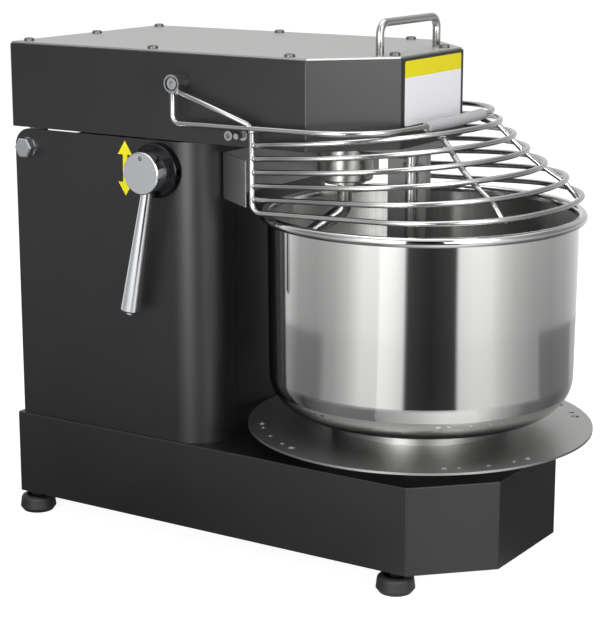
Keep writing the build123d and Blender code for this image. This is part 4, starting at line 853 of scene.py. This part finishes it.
def aim_at(thing, place, aim):
    """Put a camera or a lamp at a place and turn it towards an aim point."""
    sight = Vector(aim) - Vector(place)
    thing.location = place
    thing.rotation_euler = sight.to_track_quat("-Z", "Y").to_euler()
    print(thing.name, round(sight.length, 2), "m from its aim")


camera_data = bpy.data.cameras.new("camera")
camera_data.sensor_width = SENSOR_WIDTH
camera_data.lens = FOCAL_LENGTH
camera = bpy.data.objects.new("camera", camera_data)
bpy.context.collection.objects.link(camera)
aim_at(camera, CAMERA_PLACE, CAMERA_AIM)
bpy.context.scene.camera = camera

# %% [markdown]
# Polished steel has no look of its own: it shows the room. A studio has two large white
# screens beside the camera, with a dark gap between them where the camera stands, and its
# light falls off towards the sides. Here the bands by bearing give that brightness too,
# and both the room and the floor use them, but only for rays that come from a reflection.
# The steps along them are the edges of the screens. A colour ramp holds no level above
# one, so levels are divided by a gain, and the light is multiplied by it again.

# %% Studio brightness by bearing
GAIN = 2.0
SCREENS = ((33, 0.95), (86, 1.0), (100, 0.9), (112, 0.58), (130, 0.54), (146, 0.68),
           (157, 0.95), (168, 1.45), (180, 1.85), (190, 1.65), (197, 1.3), (198.8, 0.08),
           (215, 0.04), (232.5, 0.08), (234.3, 1.3), (246, 1.45), (257, 1.4), (266, 1.05),
           (277, 0.78), (292, 0.6), (312, 0.52), (333, 0.62), (352, 0.8))
# painted levels of the floor in reflections: the table's top out to a metre, and the apron of
# painted shade next to the machine
PAINTED_TABLE_LEVELS = ((60, 1.7), (92, 1.7), (94, 1.15), (134, 1.15), (140, 1.8), (160, 1.9), (285, 1.9),
         (299, 1.8), (300, 1.1), (344, 1.0), (347, 1.6))
PAINTED_APRON_LEVELS = ((60, 0.8), (100, 0.4), (120, 0.1), (150, 0.35), (180, 0.65), (205, 1.1), (225, 1.7),
         (245, 1.7), (265, 0.8), (285, 0.3), (320, 0.2), (345, 0.4))
brightest = max(level for bands in (SCREENS, PAINTED_TABLE_LEVELS, PAINTED_APRON_LEVELS) for _, level in bands)
print("brightest level", brightest, "of", GAIN)

# %% [markdown]
# The floor is a plain white sheet. The camera sees it with some glow of its own, so it goes white
# while the object's shadow stays on it. Reflections see a painted light on it instead: a glow that
# stands in for the screens' light, growing with the distance from the bowl. Out to a metre lies the
# table's top, with painted darker sides, and close to the machine an apron of painted shade that
# the screens hardly light.

# %% The floor's sheet
FLOOR_HALF = 30.0
FLOOR_GLOW = 0.86
WHITE = linear("#ffffff")
corners = np.array([[-1, -1, 0], [1, -1, 0], [1, 1, 0], [-1, 1, 0]], dtype=float) * FLOOR_HALF
floor_mesh = bpy.data.meshes.new("floor")
floor_mesh.from_pydata(corners.tolist(), [], [(0, 1, 2, 3)])
floor = bpy.data.objects.new("floor", floor_mesh)
bpy.context.collection.objects.link(floor)
paper, tree, shader = new_material("studio_paper_white", "#b9b9b9", 0.0, 0.9)
glow = add_node(tree, "ShaderNodeEmission", {"Color": WHITE, "Strength": FLOOR_GLOW})
seen_paper = add_node(tree, "ShaderNodeAddShader",
                      {0: shader.outputs["BSDF"], 1: glow.outputs["Emission"]})
floor_mesh.materials.append(paper)
print("floor", 2 * FLOOR_HALF, "m wide")

# %% The floor in reflections: painted light and shade
TABLE_EDGE = (0.99, 1.02)  # metres from the bowl's axis, from inside to outside
APRON_EDGE = (0.48, 0.66)
# the painted light is dimmer next to the bowl, a painted shade close to the machine
FALL_OFF = (0.3, 1.7)
NEAR_LIGHT, FAR_LIGHT = 0.68 * GAIN, 1.05 * GAIN
from_bowl = object_place(tree, location=(-bowl_centre[0], -bowl_centre[1], 0.0))
distance = add_node(tree, "ShaderNodeVectorMath",
                    {"operation": "LENGTH", 0: from_bowl}).outputs["Value"]
past_table = add_node(tree, "ShaderNodeMapRange",
                      {"From Min": TABLE_EDGE[0], "From Max": TABLE_EDGE[1], "Value": distance})
painted_table_light = add_node(tree, "ShaderNodeMix",
                 {"data_type": "RGBA", FACTOR: past_table.outputs["Result"],
                  COLOUR_A: bearing_bands(tree, from_bowl, PAINTED_TABLE_LEVELS, GAIN),
                  COLOUR_B: WHITE})
lit = add_node(tree, "ShaderNodeMix",
               {"data_type": "RGBA", "blend_type": "MULTIPLY", FACTOR: 1.0,
                COLOUR_A: bearing_bands(tree, from_bowl, SCREENS, GAIN),
                COLOUR_B: painted_table_light.outputs[MIXED]})
past_apron = add_node(tree, "ShaderNodeMapRange",
                      {"From Min": APRON_EDGE[0], "From Max": APRON_EDGE[1], "Value": distance})
whole = add_node(tree, "ShaderNodeMix",
                 {"data_type": "RGBA", FACTOR: past_apron.outputs["Result"],
                  COLOUR_A: bearing_bands(tree, from_bowl, PAINTED_APRON_LEVELS, GAIN),
                  COLOUR_B: lit.outputs[MIXED]})
growing = add_node(tree, "ShaderNodeMapRange",
                   {"From Min": FALL_OFF[0], "From Max": FALL_OFF[1], "To Min": NEAR_LIGHT,
                    "To Max": FAR_LIGHT, "Value": distance})
mirror_light = add_node(tree, "ShaderNodeEmission",
                        {"Color": whole.outputs[MIXED], "Strength": growing.outputs["Result"]})
ray = add_node(tree, "ShaderNodeLightPath", {}).outputs
direct = add_node(tree, "ShaderNodeMixShader",
                  {0: ray["Is Camera Ray"], 1: shader.outputs["BSDF"],
                   2: seen_paper.outputs["Shader"]})
mirrored = add_node(tree, "ShaderNodeMixShader",
                    {0: ray["Is Glossy Ray"], 1: direct.outputs["Shader"],
                     2: mirror_light.outputs["Emission"]})
tree.links.new(mirrored.outputs["Shader"], tree.nodes["Material Output"].inputs["Surface"])
print("apron ends", APRON_EDGE[1], "m and table", TABLE_EDGE[1], "m from the bowl's axis")

# %% [markdown]
# The room is white for the camera. For reflections it has the same screens as the floor
# up to about 45 degrees, and a plain white ceiling above them. All other light from it is
# an even half-tone that fills the shadows. The screens' levels are raised to a power, so
# the dark sides of the room are darker still than the floor's.

# %% Room
FILL_LIGHT = 0.26
CEILING_EDGE = (0.6, 0.75)  # sine of the angle above the floor
SCREEN_POWER = 1.8
SCREEN_LIGHT = 3.48  # about GAIN ** SCREEN_POWER, so a level of one shines as one
world = bpy.data.worlds.new("studio")
bpy.context.scene.world = world
world.use_nodes = True
tree = world.node_tree
fill = tree.nodes["Background"]
fill.inputs["Color"].default_value = WHITE
fill.inputs["Strength"].default_value = FILL_LIGHT
white = add_node(tree, "ShaderNodeBackground", {"Color": WHITE, "Strength": 1.0})
direction = add_node(tree, "ShaderNodeTexCoord", {}).outputs["Generated"]
climb = add_node(tree, "ShaderNodeSeparateXYZ", {"Vector": direction})
ceiling = add_node(tree, "ShaderNodeMapRange",
                   {"interpolation_type": "SMOOTHSTEP", "From Min": CEILING_EDGE[0],
                    "From Max": CEILING_EDGE[1], "Value": climb.outputs["Z"]})
contrast = add_node(tree, "ShaderNodeGamma",
                    {"Gamma": SCREEN_POWER, "Color": bearing_bands(tree, direction, SCREENS, GAIN)})
screens = add_node(tree, "ShaderNodeBackground",
                   {"Strength": SCREEN_LIGHT, "Color": contrast.outputs["Color"]})
room = add_node(tree, "ShaderNodeMixShader",
                {0: ceiling.outputs["Result"], 1: screens.outputs["Background"],
                 2: white.outputs["Background"]})
ray = add_node(tree, "ShaderNodeLightPath", {}).outputs
mirrored = add_node(tree, "ShaderNodeMixShader",
                    {0: ray["Is Glossy Ray"], 1: fill.outputs["Background"],
                     2: room.outputs["Shader"]})
seen = add_node(tree, "ShaderNodeMath",
                {"operation": "MAXIMUM", 0: ray["Is Camera Ray"],
                 1: ray["Is Transmission Ray"]})
direct = add_node(tree, "ShaderNodeMixShader",
                  {0: seen.outputs["Value"], 1: mirrored.outputs["Shader"],
                   2: white.outputs["Background"]})
tree.links.new(direct.outputs["Shader"], tree.nodes["World Output"].inputs["Surface"])
white_from = round(math.degrees(math.asin(CEILING_EDGE[1])))
print("the ceiling is all white from", white_from, "degrees up")

# %% [markdown]
# Two soft lamps stand low where the screens are, a key lamp higher up between them lights
# the bevels, and a fourth hangs overhead. They are large and weak, so no shadow has a hard
# edge.

# %% Lamps
MIDDLE = (0.0, 0.0, 0.25)
# name, place, width and height in metres, watts
LAMPS = (("left", (-2.1, -0.35, 0.5), 0.8, 0.9, 27),
         ("right", (-1.0, -1.8, 0.55), 1.1, 0.9, 14),
         ("key", (-0.6, -1.75, 1.5), 0.9, 0.9, 17),
         ("overhead", (0.1, 0.1, 2.3), 1.6, 1.6, 18))
for name, place, width, tall, watts in LAMPS:
    data = bpy.data.lights.new(name, "AREA")
    data.shape = "RECTANGLE"
    data.size = width
    data.size_y = tall
    data.energy = watts
    lamp = bpy.data.objects.new(name, data)
    bpy.context.collection.objects.link(lamp)
    aim_at(lamp, place, MIDDLE)

# %% [markdown]
# The Standard view shows colours as they are mixed, without the curve of a film.

bpy.context.scene.view_settings.view_transform = "Standard"
